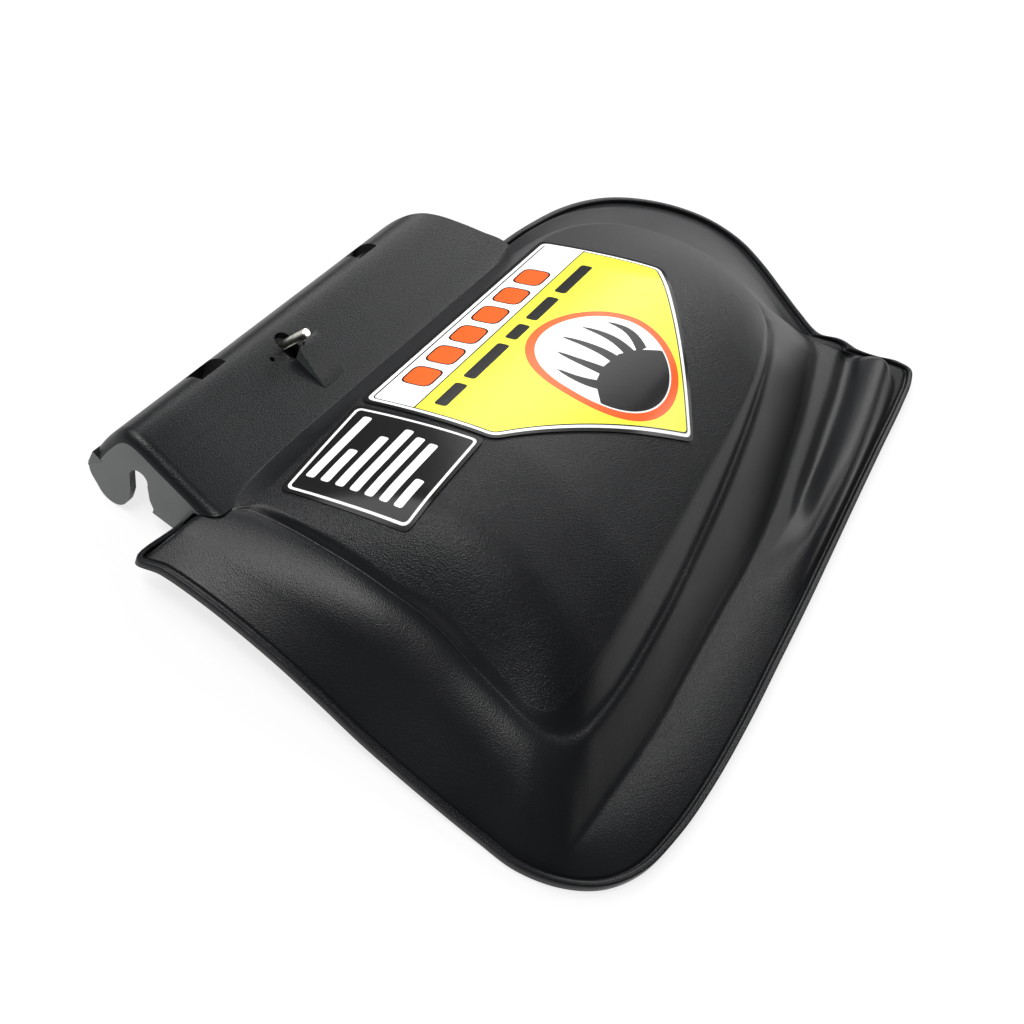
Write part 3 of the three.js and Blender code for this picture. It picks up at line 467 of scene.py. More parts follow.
def upper_rings():
    """Rings of the upper face from the rim to the middle of the dome, and how far each point is lifted."""
    along = np.roll(RIM, -1, axis=0) - np.roll(RIM, 1, axis=0)
    square = np.c_[-along[:, 1], along[:, 0], np.zeros(COUNT)]
    square /= np.linalg.norm(square, axis=1)[:, None]
    inward = SHELF - RIM
    inward[:, 2] = 0
    inward /= np.linalg.norm(inward, axis=1)[:, None]
    inward /= np.maximum((inward * square).sum(axis=1), LEAST_SLANT)[:, None]
    rings = []
    for inset, rise in RIM_SECTION:
        ring = RIM + inward * inset
        ring[:, 2] = RIM[:, 2] + rise
        rings.append(ring)
    root = rings[-1]
    lifts = [np.zeros(COUNT) for _ in rings]
    station = np.arange(COUNT) / STATIONS_PER_SPOKE
    strip_fall = read_pairs(STRIP_FALL, station)
    flank_fall = read_pairs(FLANK_FALL, station)
    for t in STRIP_STEPS:
        ring = root + (SHELF - root) * t
        ring[:, 2] = SHELF[:, 2] + (root[:, 2] - SHELF[:, 2]) * (1 - t) ** strip_fall
        rings.append(ring)
        lifts.append(strip_lift(ring[:, 0], ring[:, 1], t))
    ledge = read_pairs(LEDGE, station) / np.linalg.norm((FOOT - SHELF)[:, :2], axis=1)
    ledge_edge = FOOT + (SHELF - FOOT) * ledge[:, None]
    ledge_edge[:, 2] = FOOT[:, 2]
    shelf_lift = strip_lift(SHELF[:, 0], SHELF[:, 1], 1)
    for t in FLANK_STEPS:
        ring = SHELF + (ledge_edge - SHELF) * t
        ring[:, 2] = FOOT[:, 2] + (SHELF[:, 2] - FOOT[:, 2]) * (1 - t) ** flank_fall
        rings.append(ring)
        lifts.append(shelf_lift * (1 - t))
    for t in LEDGE_STEPS:
        rings.append(ledge_edge + (FOOT - ledge_edge) * t)
    for t in STEP_STEPS:
        rings.append(FOOT + (TOP - FOOT) * t)
    centre = np.array([*DOME_CENTRE, 0])
    for t in DOME_STEPS:
        ring = TOP + (centre - TOP) * t
        ring[:, 2] = dome_height(ring[:, 0], ring[:, 1])
        rings.append(ring)
    lifts += [np.zeros(COUNT)] * (len(rings) - len(lifts))
    corners = ((SHELF, SHELF_ROUND), (ledge_edge, LEDGE_ROUND), (FOOT, FOOT_ROUND), (TOP, TOP_ROUND))
    return soften(np.array(rings), corners), np.array(lifts)


def soften(rings, corners):
    """Rounds the surface along each spoke near the given corners, each with how far its rounding reaches."""
    weight = np.zeros(rings.shape[:2])
    for corner, reach in corners:
        distance = np.linalg.norm(rings - corner, axis=2)
        weight = np.maximum(weight, np.clip(SOFTEN_PEAK - distance / reach, 0, 1))
    weight[:len(RIM_SECTION)] = 0
    for _ in range(SOFTEN_PASSES):
        middle = (rings[:-2] + rings[2:]) / 2
        rings[1:-1] += (middle - rings[1:-1]) * weight[1:-1, :, None] * SOFTEN_SHARE
    return rings


def build_plate():
    """The cover's plate: the upper face, an underside one wall below it, and the lip round the free edge."""
    rings, lifts = upper_rings()
    centre = np.array([*DOME_CENTRE, dome_height(*DOME_CENTRE)])
    upper = rings[len(RIM_SECTION) - 1:]
    along = np.roll(upper, -1, axis=1) - np.roll(upper, 1, axis=1)
    across = np.empty_like(upper)
    across[1:-1] = upper[2:] - upper[:-2]
    across[0] = upper[1] - upper[0]
    across[-1] = centre - upper[-2]
    normal = np.cross(along, across)
    normal /= np.linalg.norm(normal, axis=2)[:, :, None]
    under = upper - normal * WALL
    under[:, :, 2] += lifts[len(RIM_SECTION) - 1:]
    under = under[UNDER_START::UNDER_STRIDE]
    rings[:, :, 2] += lifts
    lip = rings[LIP_STEP].copy()
    lip[:, 2] = RIM[:, 2] - RIM_HEIGHT
    lip_inner = under[0].copy()
    lip_inner[:, 2] = RIM[:, 2] - RIM_HEIGHT
    lower = np.concatenate([[lip_inner * t + lip * (1 - t) for t in LIP_SHARES], under])
    points = np.concatenate([rings.reshape(-1, 3), lower.reshape(-1, 3), [centre, centre - [0, 0, WALL]]])
    faces = ring_faces(len(rings), COUNT)
    start = len(rings) * COUNT
    faces += ring_faces(len(lower), COUNT, start, flip=True)
    last_upper = start - COUNT
    last_lower = start + (len(lower) - 1) * COUNT
    middle = len(points) - 2
    for i in range(COUNT):
        j = (i + 1) % COUNT
        faces.append((last_upper + i, last_upper + j, middle))
        faces.append((last_lower + j, last_lower + i, middle + 1))
        faces.append((start + i, start + j, j, i))
    plate = mesh_object("cover_plate", points, faces)
    dome_start = (len(rings) - len(DOME_STEPS)) * COUNT
    on_dome = [min(f) >= dome_start and (max(f) < start or max(f) == middle) for f in faces]
    plate.data.polygons.foreach_set("material_index", [int(v) for v in on_dome])
    return plate


def is_anticlockwise(outline):
    return sum(a[0] * b[1] - b[0] * a[1] for a, b in zip(outline, outline[1:] + outline[:1])) > 0


def prism(outline, low, high, along):
    """Solid over an outline: along y its points are x and z, and along z they are x and y."""
    ring = outline if is_anticlockwise(outline) == (along == "z") else outline[::-1]
    n = len(ring)
    if along == "y":
        points = [(x, low, z) for x, z in ring] + [(x, high, z) for x, z in ring]
    else:
        points = [(x, y, low) for x, y in ring] + [(x, y, high) for x, y in ring]
    faces = [tuple(range(n))[::-1], tuple(range(n, 2 * n))]
    for i in range(n):
        j = (i + 1) % n
        faces.append((i, j, n + j, n + i))
    return mesh_object("tool", points, faces, smooth=False)


def arc(cx, cy, radius, start, end, steps):
    angles = np.linspace(start, end, steps + 1)
    return [[cx + radius * math.cos(a), cy + radius * math.sin(a)] for a in angles]


def circle(centre, radius, steps=72):
    return arc(*centre, radius, 0, 2 * math.pi * (steps - 1) / steps, steps - 1)


def apply_modifiers(obj):
    bpy.context.view_layer.update()
    graph = bpy.context.evaluated_depsgraph_get()
    made = bpy.data.meshes.new_from_object(obj.evaluated_get(graph))
    obj.modifiers.clear()
    obj.data = made


def combine(target, tool, operation):
    """Joins or cuts the target with a solid, and takes that solid away."""
    modifier = target.modifiers.new("cut", "BOOLEAN")
    modifier.operation = operation
    modifier.object = tool
    modifier.solver = "EXACT"
    apply_modifiers(target)
    bpy.data.objects.remove(tool)
    return target


def inset_section(points, distance):
    """The points of a section moved inwards by a distance, square to its run."""
    moved = []
    for i, p in enumerate(points):
        a = points[max(i - 1, 0)]
        b = points[min(i + 1, len(points) - 1)]
        dx, dz = b[0] - a[0], b[1] - a[1]
        length = math.hypot(dx, dz)
        moved.append([p[0] - dz / length * distance, p[1] + dx / length * distance])
    return moved


def near_edge_cutter(skin):
    """What the rounded near edge of the hinge block leaves out, as a closed strip along the skin."""
    steps = []
    for k in range(EDGE_CUT_STEPS + 1):
        angle = k / EDGE_CUT_STEPS * math.pi / 2
        inset = END_FILLET * (1 - math.sin(angle))
        steps.append((inset, END_FILLET * (1 - math.cos(angle)) - EDGE_CUT_DEEPER))
    rows = []
    low = inset_section(skin, END_FILLET)
    out = inset_section(skin, -EDGE_CUT_REACH)
    rounds = [(inset_section(skin, inset), y) for inset, y in steps]
    for i in range(len(skin)):
        row = [(low[i][0], EDGE_CUT_NEAR_Y, low[i][1])]
        row += [(ring[i][0], y, ring[i][1]) for ring, y in rounds]
        row += [(out[i][0], END_FILLET, out[i][1]), (out[i][0], EDGE_CUT_NEAR_Y, out[i][1])]
        rows.append(row)
    width = len(rows[0])
    points = [p for row in rows for p in row]
    faces = []
    for i in range(len(rows) - 1):
        for k in range(width):
            n = (k + 1) % width
            faces.append((i * width + k, (i + 1) * width + k, (i + 1) * width + n, i * width + n))
    faces.append(tuple(range(width)))
    faces.append(tuple(range((len(rows) - 1) * width, len(rows) * width))[::-1])
    tool = mesh_object("tool", points, faces, smooth=False)
    mesh = bmesh.new()
    mesh.from_mesh(tool.data)
    bmesh.ops.recalc_face_normals(mesh, faces=mesh.faces)
    mesh.to_mesh(tool.data)
    mesh.free()
    return tool


def build_hinge():
    """The hinge block, joined and cut from solids over the named sections."""
    skin = [list(p) for p in spline(SKIN, SKIN_STEPS, False)]
    lobe = [list(p) for p in spline(LOBES, CURVE_STEPS, False)]
    seat = arc(ROD_X, ROD_Z, ROD_SEAT_RADIUS, math.pi, 0, ARC_STEPS)
    after = [list(p) for p in spline(LOBES_AFTER_SEAT[:CURVED_COUNT], CURVE_STEPS, False)]
    after += LOBES_AFTER_SEAT[CURVED_COUNT:]
    plate = skin + lobe + seat + after
    body = skin + [[BODY_OUTER_X, CHANNEL_EDGE_Z], [BODY_INNER_X, CHANNEL_EDGE_Z]] + BODY_SIDE
    inner_skin = inset_section(skin[HOLLOW_SKIN_START:], HINGE_WALL)
    cavity = inner_skin + [[HOLLOW_OUTER_X, HOLLOW_EDGE_Z], [HOLLOW_INNER_X, HOLLOW_EDGE_Z]] + HOLLOW_SIDE
    far_end = [list(p) for p in spline(FAR_END_PLAN, CURVE_STEPS, False)]
    near_ends = [[far_end[-1][0], CUTTER_NEAR_Y], [far_end[0][0], CUTTER_NEAR_Y]]
    plan = far_end + near_ends
    inner_plan = [[x + FAR_WALL_SHIFT, y - HINGE_WALL] for x, y in far_end]
    inner_plan += [[x + FAR_WALL_SHIFT, y] for x, y in near_ends]

    def trimmed(section, low, high):
        solid = prism(section, low, high, "y")
        return combine(solid, prism(plan, -CUTTER_REACH, CUTTER_REACH, "z"), "INTERSECT")

    hinge = trimmed(body, 0, HINGE_LENGTH)
    combine(hinge, prism(plate, 0, HINGE_WALL, "y"), "UNION")
    combine(hinge, near_edge_cutter(skin), "DIFFERENCE")
    notch_side = LOBES_AFTER_SEAT[1]
    notch = [lobe[-1]] + seat + [after[0], notch_side]
    notch += [[notch_side[0], -CUTTER_REACH], [lobe[-1][0], -CUTTER_REACH]]
    combine(hinge, prism(notch, -CUT_MARGIN, HINGE_WALL + CUT_MARGIN, "y"), "DIFFERENCE")
    hollow = prism(cavity, HINGE_WALL, HINGE_LENGTH, "y")
    combine(hollow, prism(inner_plan, -CUTTER_REACH, CUTTER_REACH, "z"), "INTERSECT")
    combine(hinge, hollow, "DIFFERENCE")
    channel = skin + [[BODY_OUTER_X, CHANNEL_EDGE_Z], [RIB_INNER_X, CHANNEL_EDGE_Z]]
    for y in RIB_POSITIONS:
        rib = trimmed(plate, y - RIB_THICKNESS / 2, y + RIB_THICKNESS / 2)
        combine(rib, prism(channel, 0, HINGE_LENGTH, "y"), "INTERSECT")
        combine(hinge, rib, "UNION")
    boss_start, boss_end = RIB_POSITIONS[1:3]
    rod_centre = (ROD_X, ROD_Z)
    combine(hinge, prism(circle(rod_centre, BOSS_RADIUS, 32), boss_start, boss_end, "y"), "UNION")
    bore = circle(rod_centre, BOSS_BORE_RADIUS, 32)
    combine(hinge, prism(bore, boss_start - BORE_MARGIN, boss_end + BORE_MARGIN, "y"), "DIFFERENCE")
    add_hood(hinge)
    straight = (HOLE_LENGTH - HOLE_WIDTH) / 2
    oval = arc(HOLE_X + straight, HOLE_Y, HOLE_WIDTH / 2, -math.pi / 2, math.pi / 2, ARC_STEPS)
    oval += arc(HOLE_X - straight, HOLE_Y, HOLE_WIDTH / 2, math.pi / 2, 3 * math.pi / 2, ARC_STEPS)
    combine(hinge, prism(oval, *HOLE_CUT_Z, "z"), "DIFFERENCE")
    for y0, y1 in WINDOW_SPANS:
        window = rectangle(WINDOW_OUTER_X, WINDOW_INNER_X, y0, y1)
        combine(hinge, prism(window, *WINDOW_CUT_Z, "z"), "DIFFERENCE")
    combine(hinge, prism(circle(PIN_HOLE, PIN_HOLE_RADIUS, 16), *HOLE_CUT_Z, "z"), "DIFFERENCE")
    hinge.name = "hinge_block"
    hinge.data.name = "hinge_block"
    soften_edges(hinge, EDGE_ROUND)
    # Faces that look to the near end, on the end plate and the hood's near wall, get the smooth material:
    # real smooth moulding, but its lighter colour is painted light
    for face in hinge.data.polygons:
        y = face.center.y / MM - SHIFT.y
        painted_light_face = min(abs(y), abs(y - HOOD_NEAR_Y)) < PAINTED_LIGHT_FACE_REACH
        face.material_index = int(painted_light_face and face.normal.y < PAINTED_LIGHT_FACE_NORMAL)
    return hinge


def add_hood(hinge):
    """Hood behind the oval hole: a ramp that rises towards the spring arm and is open at its front."""
    far = HOOD_NEAR_Y + HOOD_WIDTH
    combine(hinge, prism(HOOD_OUTSIDE, HOOD_NEAR_Y, far, "y"), "UNION")
    combine(hinge, prism(HOOD_INSIDE, HOOD_NEAR_Y + HOOD_WALL, far - HOOD_WALL, "y"), "DIFFERENCE")


def soften_edges(obj, width):
    """Rounds the sharp edges a little and smooths the shading between them."""
    mesh = bmesh.new()
    mesh.from_mesh(obj.data)
    bmesh.ops.remove_doubles(mesh, verts=mesh.verts, dist=MERGE_DISTANCE)
    bmesh.ops.dissolve_degenerate(mesh, edges=mesh.edges, dist=MERGE_DISTANCE)
    mesh.to_mesh(obj.data)
    mesh.free()
    bevel = obj.modifiers.new("edge", "BEVEL")
    bevel.width = width * MM
    bevel.segments = 2
    bevel.limit_method = "ANGLE"
    bevel.angle_limit = math.radians(BEVEL_ANGLE)
    bevel.use_clamp_overlap = True
    apply_modifiers(obj)
    shade_by_angle(obj)


def shade_by_angle(obj):
    """Smooths the shading over every edge that bends less than the shading angle."""
    mesh = bmesh.new()
    mesh.from_mesh(obj.data)
    limit = math.radians(SHADE_ANGLE)
    for face in mesh.faces:
        face.smooth = True
    for edge in mesh.edges:
        edge.smooth = len(edge.link_faces) == 2 and edge.calc_face_angle(0) < limit
    mesh.to_mesh(obj.data)
    mesh.free()


def spring_path():
    """Points along the wire from the arm's tip, down and round the coil, to the leg's tip."""
    pitch = WIRE_DIAMETER + COIL_GAP
    start_angle = ARM_ANGLE + math.pi / 2
    start = (ROD_X + COIL_RADIUS * math.cos(start_angle), ROD_Z + COIL_RADIUS * math.sin(start_angle))
    dx, dz = math.cos(ARM_ANGLE), math.sin(ARM_ANGLE)
    points = []
    for t in ARM_SHARES:
        points.append((start[0] + dx * ARM_LENGTH * t, ARM_Y, start[1] + dz * ARM_LENGTH * t))
    total = COIL_TURNS * COIL_STEPS + COIL_EXTRA_STEPS
    for k in range(total + 1):
        angle = start_angle + k / COIL_STEPS * 2 * math.pi
        points.append((
            ROD_X + COIL_RADIUS * math.cos(angle),
            ARM_Y - pitch * k / COIL_STEPS,
            ROD_Z + COIL_RADIUS * math.sin(angle),
        ))
    end = start_angle + total / COIL_STEPS * 2 * math.pi
    tail = points[-1]
    for t in LEG_SHARES:
        points.append((
            tail[0] - math.sin(end) * LEG_LENGTH * t,
            tail[1] - LEG_DRIFT * t,
            tail[2] + math.cos(end) * LEG_LENGTH * t,
        ))
    return points


def build_spring():
    """Wire swept along its path, with a small chamfer at both cut ends."""
    path = spline(spring_path(), CURVE_STEPS, False)
    head = path[0] + (path[1] - path[0]) * WIRE_CHAMFER / np.linalg.norm(path[1] - path[0])
    tail = path[-1] + (path[-2] - path[-1]) * WIRE_CHAMFER / np.linalg.norm(path[-2] - path[-1])
    path = np.concatenate([[path[0], head], path[1:-1], [tail, path[-1]]])
    angles = np.arange(WIRE_SIDES) / WIRE_SIDES * 2 * math.pi
    tangent = np.gradient(path, axis=0)
    tangent /= np.linalg.norm(tangent, axis=1)[:, None]
    normal = np.cross(tangent[0], (0, 1, 0))
    rings = []
    for i, p in enumerate(path):
        normal = normal - tangent[i] * (normal @ tangent[i])
        normal /= np.linalg.norm(normal)
        side = np.cross(tangent[i], normal)
        radius = WIRE_DIAMETER / 2
        if i in (0, len(path) - 1):
            radius -= WIRE_CHAMFER
        rings.append(p + radius * (np.cos(angles)[:, None] * normal + np.sin(angles)[:, None] * side))
    points = np.array(rings).reshape(-1, 3)
    faces = ring_faces(len(rings), WIRE_SIDES, flip=True)
    faces.append(tuple(range(WIRE_SIDES)))
    faces.append(tuple(range(len(points) - WIRE_SIDES, len(points)))[::-1])
    spring = mesh_object("spring_wire", points, faces)
    shade_by_angle(spring)
    return spring


def inside(points, outline):
    """True for each point that lies within a closed outline."""
    x, y = points[:, 0], points[:, 1]
    hit = np.zeros(len(points), bool)
    n = len(outline)
    for i in range(n):
        x0, y0 = outline[i]
        x1, y1 = outline[(i + 1) % n]
        crosses = (y0 > y) != (y1 > y)
        with np.errstate(divide="ignore", invalid="ignore"):
            at = x0 + (y - y0) / (y1 - y0) * (x1 - x0)
        hit ^= crosses & (x < at)
    return hit


def offset_outline(outline, distance):
    """The outline moved inwards by a distance; its points go round counter-clockwise or clockwise."""
    sign = 1 if is_anticlockwise(outline) else -1
    moved = []
    n = len(outline)
    for i in range(n):
        a, b, c = (Vector(outline[(i + k) % n]) for k in (-1, 0, 1))
        first = (b - a).normalized()
        second = (c - b).normalized()
        one = Vector((-first.y, first.x)) * sign
        two = Vector((-second.y, second.x)) * sign
        bisector = (one + two).normalized()
        moved.append(list(b + bisector * (distance / max(bisector.dot(one), LEAST_BISECTOR))))
    return moved


def rounded_outline(outline, radius, steps=5):
    """The outline with each corner replaced by a small arc."""
    points = []
    n = len(outline)
    for i in range(n):
        a, b, c = (Vector(outline[(i + k) % n]) for k in (-1, 0, 1))
        reach = min(radius, (a - b).length * CORNER_SHARE, (c - b).length * CORNER_SHARE)
        p = b + (a - b).normalized() * reach
        q = b + (c - b).normalized() * reach
        for k in range(steps + 1):
            t = k / steps
            points.append(list(p * (1 - t) ** 2 + b * (2 * t * (1 - t)) + q * t * t))
    return points


def rectangle(x0, x1, y0, y1):
    return [[x0, y0], [x1, y0], [x1, y1], [x0, y1]]


def bar(x, y0, y1, width):
    """Rounded bar along y, centred on x."""
    return rounded_outline(rectangle(x - width / 2, x + width / 2, y0, y1), width * BAR_ROUND_SHARE, 3)


def divided(outline):
    """The outline with its long sides divided, so that they follow the dome."""
    points = []
    for a, b in zip(outline, outline[1:] + outline[:1]):
        count = max(1, math.ceil(math.dist(a, b) / LONGEST_SIDE))
        for k in range(count):
            points.append([a[0] + (b[0] - a[0]) * k / count, a[1] + (b[1] - a[1]) * k / count])
    return points


def dome_slope(points, axis):
    """Slope of the dome along x (axis 0) or y (axis 1) at points in plan."""
    step = np.zeros(2)
    step[axis] = SLOPE_STEP
    ahead, behind = points + step, points - step
    rise = dome_height(ahead[:, 0], ahead[:, 1]) - dome_height(behind[:, 0], behind[:, 1])
    return rise / (2 * SLOPE_STEP)


def printed_sheet(name, outline, shapes):
    """Thin sheet over the dome; shapes are (outline, material index), each printed over the ones before."""
    outline = divided(outline)
    shapes = [(divided(ring), index) for ring, index in shapes]
    points = []
    edges = []
    for ring in [outline] + [s[0] for s in shapes]:
        start = len(points)
        points += [Vector(p) for p in ring]
        edges += [(start + i, start + (i + 1) % len(ring)) for i in range(len(ring))]
    low = np.min(outline, axis=0)
    high = np.max(outline, axis=0)
    columns = np.arange(low[0], high[0], SHEET_GRID)
    rows = np.arange(low[1], high[1], SHEET_GRID)
    grid = np.array([(x, y) for x in columns for y in rows])
    grid = grid[inside(grid, offset_outline(outline, SHEET_GRID_INSET))]
    points += [Vector(p) for p in grid]
    made = delaunay_2d_cdt(points, edges, [], 0, SHEET_MERGE)
    flat = np.array([tuple(v) for v in made[0]])
    triangles = np.array(made[2])
    centres = flat[triangles].mean(axis=1)
    keep = inside(centres, outline)
    triangles, centres = triangles[keep], centres[keep]
    material = np.zeros(len(triangles), int)
    for ring, index in shapes:
        material[inside(centres, ring)] = index
    height = dome_height(flat[:, 0], flat[:, 1]) + FIT_GAP
    top = np.c_[flat, height + LABEL_THICKNESS]
    bottom = np.c_[flat, height]
    n = len(flat)
    faces = [tuple(t) for t in triangles] + [tuple(t[::-1] + n) for t in triangles]
    directed = {}
    for t in triangles:
        for a, b in ((t[0], t[1]), (t[1], t[2]), (t[2], t[0])):
            directed[(a, b)] = True
    rim = [(a, b) for a, b in directed if (b, a) not in directed]
    faces += [(b, a, a + n, b + n) for a, b in rim]
    sheet = mesh_object(name, np.concatenate([top, bottom]), faces, smooth=False)
    indices = np.concatenate([material, np.zeros(len(triangles) + len(rim), int)])
    sheet.data.polygons.foreach_set("material_index", indices)
    sheet.data.polygons.foreach_set("use_smooth", [True] * len(sheet.data.polygons))
    up = np.c_[-dome_slope(flat, 0), -dome_slope(flat, 1), np.ones(n)]
    up /= np.linalg.norm(up, axis=1)[:, None]
    normals = []
    for polygon in sheet.data.polygons:
        for vertex in polygon.vertices:
            if len(polygon.vertices) == 4:
                normals.append(tuple(polygon.normal))
            else:
                normals.append(tuple(up[vertex] if vertex < n else -up[vertex - n]))
    sheet.data.normals_split_custom_set(normals)
    return sheet


# Materials: every colour here is linear, and the depth of a grain is in metres
FINE_GRAIN_DEPTH = 0.00008
DEEP_GRAIN_DEPTH = 0.0002
# The darker patches of a print have this share of its colour
PRINT_SHADE = 0.94


def new_material(name):
    material = bpy.data.materials.new(name)
    material.use_nodes = True
    nodes = material.node_tree.nodes
    return material, nodes, material.node_tree.links, nodes["Principled BSDF"]


def noise(nodes, links, coordinates, scale, detail):
    node = nodes.new("ShaderNodeTexNoise")
    node.inputs["Scale"].default_value = scale
    node.inputs["Detail"].default_value = detail
    links.new(coordinates, node.inputs["Vector"])
    return node


def math_node(nodes, links, operation, first, second=None):
    node = nodes.new("ShaderNodeMath")
    node.operation = operation
    links.new(first, node.inputs[0])
    if second:
        links.new(second, node.inputs[1])
    return node


def ramp(nodes, links, source, low, high, dark, light):
    """Colour from dark to light as the source goes from low to high."""
    node = nodes.new("ShaderNodeValToRGB")
    node.color_ramp.elements[0].position = low
    node.color_ramp.elements[1].position = high
    node.color_ramp.elements[0].color = (*dark, 1)
    node.color_ramp.elements[1].color = (*light, 1)
    links.new(source, node.inputs["Fac"])
    return node


def pebbled_plastic(name, depth):
    """Black polypropylene with a pebble grain of a given depth."""
    material, nodes, links, shader = new_material(name)
    at = nodes.new("ShaderNodeTexCoord").outputs["Object"]
    grain = nodes.new("ShaderNodeTexVoronoi")
    grain.feature = "SMOOTH_F1"
    grain.inputs["Scale"].default_value = 2300
    links.new(at, grain.inputs["Vector"])
    fine = noise(nodes, links, at, 2100, 3)
    mixed = math_node(nodes, links, "ADD", grain.outputs["Distance"], fine.outputs["Fac"])
    bump = nodes.new("ShaderNodeBump")
    bump.inputs["Strength"].default_value = 0.8
    bump.inputs["Distance"].default_value = depth
    links.new(mixed.outputs["Value"], bump.inputs["Height"])
    links.new(bump.outputs["Normal"], shader.inputs["Normal"])
    cloud = noise(nodes, links, at, 26, 3)
    tint = ramp(nodes, links, cloud.outputs["Fac"], 0.3, 0.7, (0.0055, 0.006, 0.007), (0.0085, 0.009, 0.01))
    links.new(tint.outputs["Color"], shader.inputs["Base Color"])
    rough = nodes.new("ShaderNodeMapRange")
    rough.inputs["To Min"].default_value = 0.3
    rough.inputs["To Max"].default_value = 0.4
    links.new(cloud.outputs["Fac"], rough.inputs["Value"])
    links.new(rough.outputs["Result"], shader.inputs["Roughness"])
    shader.inputs["Specular IOR Level"].default_value = 0.2
    return material


def smooth_plastic_with_painted_light():
    """Smooth face of the same moulding, with painted light: its colour is far lighter than the grained black
    and its sheen stronger, standing in for the light on the faces that look to the near end.
    """
    material, nodes, links, shader = new_material("smooth_black_plastic")
    at = nodes.new("ShaderNodeTexCoord").outputs["Object"]
    cloud = noise(nodes, links, at, 90, 3)
    # Painted light: a grey far lighter than the grained black, for the lit faces at the near end
    tint = ramp(nodes, links, cloud.outputs["Fac"], 0.3, 0.7, (0.05, 0.059, 0.056), (0.062, 0.072, 0.069))
    links.new(tint.outputs["Color"], shader.inputs["Base Color"])
    shader.inputs["Roughness"].default_value = 0.34
    shader.inputs["Specular IOR Level"].default_value = 0.75
    return material


def print_material(name, colour):
    """Printed film with the faint ripple of the grain below it."""
    material, nodes, links, shader = new_material(name)
    at = nodes.new("ShaderNodeTexCoord").outputs["Object"]
    ripple = noise(nodes, links, at, 420, 2)
    bump = nodes.new("ShaderNodeBump")
    bump.inputs["Strength"].default_value = 0.07
    bump.inputs["Distance"].default_value = 0.0003
    links.new(ripple.outputs["Fac"], bump.inputs["Height"])
    links.new(bump.outputs["Normal"], shader.inputs["Normal"])
    shade = noise(nodes, links, at, 30, 2)
    darker = tuple(c * PRINT_SHADE for c in colour)
    tint = ramp(nodes, links, shade.outputs["Fac"], 0.35, 0.65, darker, colour)
    links.new(tint.outputs["Color"], shader.inputs["Base Color"])
    shader.inputs["Roughness"].default_value = 0.2
    shader.inputs["Specular IOR Level"].default_value = 0.12
    return material


def zinc_wire():
    material, nodes, links, shader = new_material("zinc_plated_wire")
    at = nodes.new("ShaderNodeTexCoord").outputs["Object"]
    cloud = noise(nodes, links, at, 700, 3)
    tint = ramp(nodes, links, cloud.outputs["Fac"], 0.3, 0.7, (0.42, 0.43, 0.38), (0.72, 0.72, 0.64))
    links.new(tint.outputs["Color"], shader.inputs["Base Color"])
    shader.inputs["Metallic"].default_value = 1.0
    shader.inputs["Roughness"].default_value = 0.33
    return material


def use(obj, *materials):
    for material in materials:
        obj.data.materials.append(material)


fine_grain = pebbled_plastic("fine_grained_plastic", FINE_GRAIN_DEPTH)
deep_grain = pebbled_plastic("deep_grained_plastic", DEEP_GRAIN_DEPTH)
plate = build_plate()
use(plate, fine_grain, deep_grain)
hinge = build_hinge()
use(hinge, fine_grain, smooth_plastic_with_painted_light())
spring = build_spring()
use(spring, zinc_wire())

black_print = print_material("black_print", (0.012, 0.012, 0.012))
white_print = print_material("white_print", (0.85, 0.86, 0.85))
yellow_print = print_material("yellow_print", (0.86, 0.84, 0.06))
orange_print = print_material("orange_print", (0.85, 0.11, 0.02))


def band_shapes():
    """Row of plain blocks on the white band, and a line of short bars beside it."""
    shapes = []
    for k in range(BLOCK_COUNT):
        low = BLOCK_START + k * BLOCK_PITCH
        high = low + BLOCK_LENGTH
        inner = bar(BLOCK_X, low + BLOCK_EDGE, high - BLOCK_EDGE, BLOCK_WIDTH - 2 * BLOCK_EDGE)
        shapes += [(bar(BLOCK_X, low, high, BLOCK_WIDTH), BLACK), (inner, ORANGE)]
    for low, high in BAR_SPANS:
        shapes.append((bar(BAR_X, low, high, BAR_WIDTH), BLACK))
    return shapes


def blade(base, tip, width, lean):
    """Pointed leaf from a base to a tip, bent sideways by lean."""
    base, tip = Vector(base), Vector(tip)
    run = tip - base
    side = Vector((-run.y, run.x)).normalized()
    left, right = [], []
    for k in range(LEAF_STEPS + 1):
        t = k / LEAF_STEPS
        middle = base + run * t + side * lean * math.sin(t * math.pi)
        half = width / 2 * (1 - t) ** LEAF_TAPER
        left.append(list(middle + side * half))
        right.append(list(middle - side * half))
    return left + right[:-1][::-1]


def leaf_shapes():
    """Tuft of leaves on a mound, inside the ring."""
    x, y = RING_CENTRE
    start, end = (math.radians(angle) for angle in MOUND_ARC)
    mound = [[x + dx, y + dy] for dx, dy in MOUND]
    mound += arc(x, y, RING_RADIUS - RING_BAND - MOUND_GAP, start, end, 24)
    shapes = [(mound, BLACK)]
    for dy, length, lean in LEAVES:
        tip = (x + LEAF_TIP_X - length, y + dy * LEAF_SPREAD)
        shapes.append((blade((x + LEAF_ROOT_X, y + dy), tip, LEAF_WIDTH, lean), BLACK))
    return shapes


